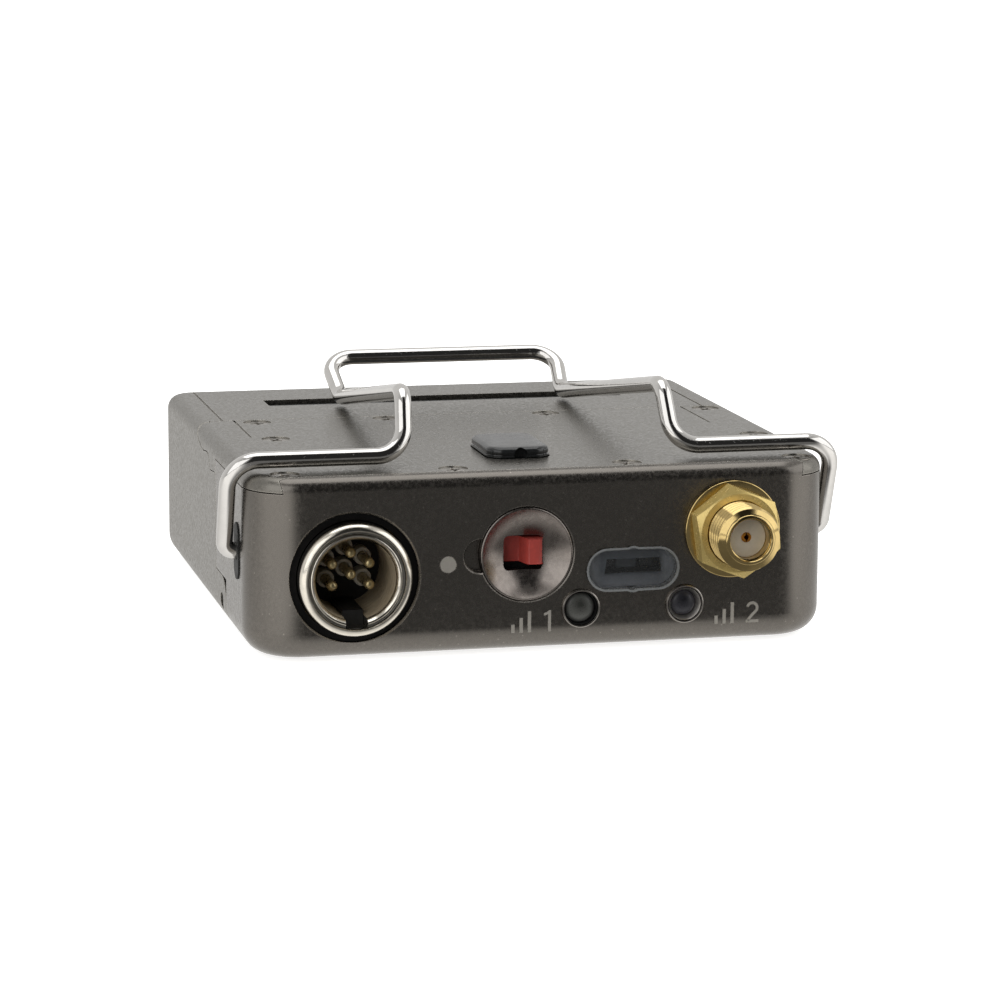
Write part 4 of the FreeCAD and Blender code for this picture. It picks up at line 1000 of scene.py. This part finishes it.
def screw(x, depth):
    """A countersunk head with a cross recess, turned at random."""
    _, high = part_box("cover_screws_front")
    top = high.z / MM
    rings = [(0.0, top - 0.03), (0.5, top - 0.01), (1.25, top), (1.36, top - 0.02), (1.4, top - 0.07),
             (0.75, top - 0.8), (0.75, top - 1.6), (0.0, top - 1.6)]
    around = 48
    columns = []
    for i in range(around):
        a = 2 * math.pi * i / around
        columns.append([at(x + r * math.cos(a), depth + r * math.sin(a), z) for r, z in rings])
    first_arm = random.uniform(0, math.pi / 2)
    arms = []
    for a in (first_arm, first_arm + math.pi / 2):
        ux, uy = math.cos(a), math.sin(a)
        rings = []
        for half_u, half_v, z in ((0.85, 0.19, top + 0.2), (0.35, 0.12, top - 0.6)):
            outline = rectangle(-half_u, half_u, -half_v, half_v)
            rings.append([at(x + u * ux - v * uy, depth + u * uy + v * ux, z) for u, v in outline])
        arms.append(cut(clean(lofted("arm", rings))))
    return baked(clean(skin("head", columns)), *arms)


SCREWS = {"cover_screws_front": [(-25.2, 2.9), (-8.75, 2.85), (8.6, 2.85), (25.9, 2.9)],
          "cover_screws_mid": [(-22.5, 23.2), (25.9, 16.65)],
          "cover_screws_rear": [(-22.6, 33.75), (-8.9, 33.75), (8.3, 33.75), (25.9, 33.75)]}
for node, places in SCREWS.items():
    heads = joined(node, [screw(x, depth) for x, depth in places])
    add_piece(node.replace("cover_", "") + "_heads", heads, "case", "screw_steel", [node])


# ---------------------------------------------------------------- printed marks

def raised(outline):
    """A thin layer of paint on the front panel."""
    return plate_y(outline, -0.014, 0.004)


def numeral_one(x, z):
    """Upright with a short flag; X and Z are its lower left corner."""
    return raised([(x, z + 1.86), (x + 0.30, z + 1.92), (x + 0.52, z + 2.12), (x + 0.72, z + 2.12),
                   (x + 0.72, z), (x + 0.42, z), (x + 0.42, z + 1.72), (x + 0.12, z + 1.60),
                   (x, z + 1.62)])


def numeral_two(x, z):
    """A stroke along an arc and down to the foot."""
    wide, line = 0.28, []
    for k in range(15):
        a = math.radians(165 - 200 * k / 14)
        line.append((x + 0.66 + 0.50 * math.cos(a), z + 1.46 + 0.50 * math.sin(a)))
    line += [(x + 0.62, z + 0.72), (x + 0.2, z + 0.22)]
    outer, inner = [], []
    for i, (px, pz) in enumerate(line):
        ax, az = line[max(i - 1, 0)]
        bx, bz = line[min(i + 1, len(line) - 1)]
        length = math.hypot(bx - ax, bz - az)
        nx, nz = -(bz - az) / length, (bx - ax) / length
        outer.append((px + nx * wide / 2, pz + nz * wide / 2))
        inner.append((px - nx * wide / 2, pz - nz * wide / 2))
    foot = rectangle(x, x + 1.32, z, z + wide)
    return joined("two", [raised(outer + inner[::-1]), raised(foot)])


def level_icon(x, z, height):
    """Three bars of rising height."""
    bars = []
    for k in range(3):
        left = x + 0.82 * k
        bars.append(raised(rectangle(left, left + 0.34, z, z + height * (0.4 + 0.3 * k))))
    return bars


MARK_H = 2.1
first_mark = level_icon(-3.6, 1.93, MARK_H) + [numeral_one(-0.35, 1.93)]
second_mark = level_icon(16.9, 1.9, MARK_H) + [numeral_two(20.1, 1.9)]
add_piece("channel_mark_first", joined("mark", first_mark), "case", "dot_paint")
add_piece("channel_mark_second", joined("mark", second_mark), "case", "dot_paint")


# ---------------------------------------------------------------- carried-over nodes

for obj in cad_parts.values():
    for i, old in enumerate(obj.data.materials):
        obj.data.materials[i] = looks[old.name.split(".")[0]].material


# ---------------------------------------------------------------- stage

FLOOR_HALF = 4.0
SMOOTH = "SMOOTHSTEP"


def floor_plane(name, z, material):
    """A wide level plane that isn't part of the object."""
    half = FLOOR_HALF
    corners = [(-half, -half, z), (half, -half, z), (half, half, z), (-half, half, z)]
    obj = bpy.data.objects.new(name, make_mesh(name, corners, [(0, 1, 2, 3)]))
    bpy.context.scene.collection.objects.link(obj)
    obj.data.materials.append(material)
    return obj


def floor_paper():
    """White paper that glows a little, so that it stays white."""
    look = Look("floor_paper")
    look.colour(look.mix(look.ramp(look.noise(40.0, 3), 0.3, 0.7), rgb(238, 238, 237), rgb(244, 244, 243)))
    look.put(Roughness=0.9, Emission_Color=(1, 1, 1, 1), Emission_Strength=0.75)
    return look.material


def floor_light():
    """Glow of the floor that lights the object: unlit in front of it, between the two lights."""
    material = bpy.data.materials.new("floor_lit")
    material.use_nodes = True
    graph = Graph(material.node_tree)
    graph.tree.nodes.clear()
    out = graph.node("ShaderNodeOutputMaterial")
    glow = graph.node("ShaderNodeEmission")
    graph.link(glow.outputs[0], out.inputs[0])
    glow.inputs["Color"].default_value = (1.0, 0.985, 0.96, 1.0)
    place = graph.node("ShaderNodeTexCoord")
    x, y, _ = graph.split(place.outputs["Object"])
    in_front = graph.maths("SUBTRACT", -CASE_D / 2 * MM, y)
    ahead = graph.maths("MAXIMUM", in_front, 0.0)
    edges = [graph.maths("ADD", graph.maths("MULTIPLY", ahead, slope), offset)
             for offset, slope in ((-0.030, -0.55), (-0.021, -0.12), (0.022, 0.6), (0.031, 1.05))]
    from_left = graph.ramp(x, edges[0], edges[1], 0.0, 1.0, SMOOTH)
    from_right = graph.ramp(x, edges[2], edges[3], 1.0, 0.0, SMOOTH)
    near = graph.ramp(in_front, -0.001, 0.009, 0.0, 1.0, SMOOTH)
    dark = graph.maths("MULTIPLY", graph.maths("MULTIPLY", from_left, from_right), near)
    side = graph.ramp(in_front, -0.03, 0.03, 0.0, 1.0, SMOOTH)
    level = graph.maths("ADD", 0.86, graph.maths("MULTIPLY", side, 0.55))
    left_over = graph.maths("SUBTRACT", 1.0, graph.maths("MULTIPLY", dark, 0.88))
    graph.link(graph.maths("MULTIPLY", level, left_over), glow.inputs["Strength"])
    return material


floor = floor_plane("floor", -0.0002, floor_paper())
floor.visible_glossy = False
floor.visible_diffuse = False
lit_floor = floor_plane("floor_lit", -0.0003, floor_light())
for flag in ("visible_camera", "visible_transmission", "visible_shadow", "visible_volume_scatter"):
    setattr(lit_floor, flag, False)


# ---------------------------------------------------------------- light and camera

LIGHT_TARGET = Vector((0.0, 0.0, 0.01))


def softbox(name, place, wide, tall, radiance):
    """A rectangular light that faces the object; its size is in metres."""
    light = bpy.data.lights.new(name, "AREA")
    light.shape = "RECTANGLE"
    light.size, light.size_y = wide, tall
    light.energy = radiance * wide * tall * math.pi
    obj = bpy.data.objects.new(name, light)
    bpy.context.scene.collection.objects.link(obj)
    obj.location = place
    obj.rotation_mode = "QUATERNION"
    obj.rotation_quaternion = (LIGHT_TARGET - Vector(place)).to_track_quat("-Z", "Y")
    obj.visible_camera = False


def ring_place(azimuth, elevation, distance):
    """A place round the object; azimuth 0 is in front of it and grows to the right."""
    a, e = math.radians(azimuth), math.radians(elevation)
    along = distance * math.cos(e)
    return (along * math.sin(a), -along * math.cos(a), distance * math.sin(e))


def studio():
    """Bright surroundings with an unlit gap between the two front lights."""
    world = bpy.data.worlds.new("studio")
    bpy.context.scene.world = world
    world.use_nodes = True
    graph = Graph(world.node_tree)
    back = graph.tree.nodes["Background"]
    back.inputs["Color"].default_value = (1.0, 0.99, 0.975, 1.0)
    place = graph.node("ShaderNodeTexCoord")
    x, y, z = graph.split(place.outputs["Generated"])
    gap_middle, gap_half, gap_fade = math.radians(9.5), math.radians(20), math.radians(34)
    azimuth = graph.maths("ARCTAN2", x, graph.maths("MULTIPLY", y, -1.0))
    off_gap = graph.maths("ABSOLUTE", graph.maths("SUBTRACT", azimuth, gap_middle))
    gap = graph.ramp(off_gap, gap_half, gap_fade, 1.0, 0.0, SMOOTH)
    low_down = graph.ramp(z, 0.9, 0.97, 1.0, 0.0, SMOOTH)
    dark = graph.maths("MULTIPLY", gap, low_down)
    behind = graph.ramp(y, -0.5, 0.5, 0.5, 0.78, SMOOTH)
    left_over = graph.maths("SUBTRACT", 1.0, graph.maths("MULTIPLY", dark, 0.95))
    graph.link(graph.maths("MULTIPLY", left_over, behind), back.inputs["Strength"])


def place_camera():
    """Looks down at the front panel from the left, with a long lens."""
    yaw, pitch, roll = math.radians(13.61), math.radians(10.51), math.radians(0.35)
    place = Vector((-0.0827, -0.3502, 0.0765))
    ahead = Vector((math.sin(yaw) * math.cos(pitch), math.cos(yaw) * math.cos(pitch), -math.sin(pitch)))
    level = Vector((math.cos(yaw), -math.sin(yaw), 0.0))
    above = level.cross(ahead)
    right = level * math.cos(roll) + above * math.sin(roll)
    up = above * math.cos(roll) - level * math.sin(roll)
    data = bpy.data.cameras.new("camera")
    data.lens = 126.4
    data.sensor_width = 36.0
    data.clip_start = 0.01
    data.clip_end = 20.0
    camera = bpy.data.objects.new("camera", data)
    bpy.context.scene.collection.objects.link(camera)
    camera.matrix_world = Matrix(((right.x, up.x, -ahead.x, place.x), (right.y, up.y, -ahead.y, place.y),
                                  (right.z, up.z, -ahead.z, place.z), (0, 0, 0, 1)))
    bpy.context.scene.camera = camera


softbox("left_box", ring_place(-52, 26, 1.0), 0.95, 0.8, 1.05)
softbox("right_box", ring_place(71, 26, 1.0), 1.05, 0.8, 1.1)
softbox("top_box", (0.0, 0.06, 1.0), 0.9, 0.84, 1.5)
studio()
place_camera()
bpy.context.scene.view_settings.view_transform = "Standard"

for mesh in [m for m in bpy.data.meshes if m.users == 0]:
    bpy.data.meshes.remove(mesh)
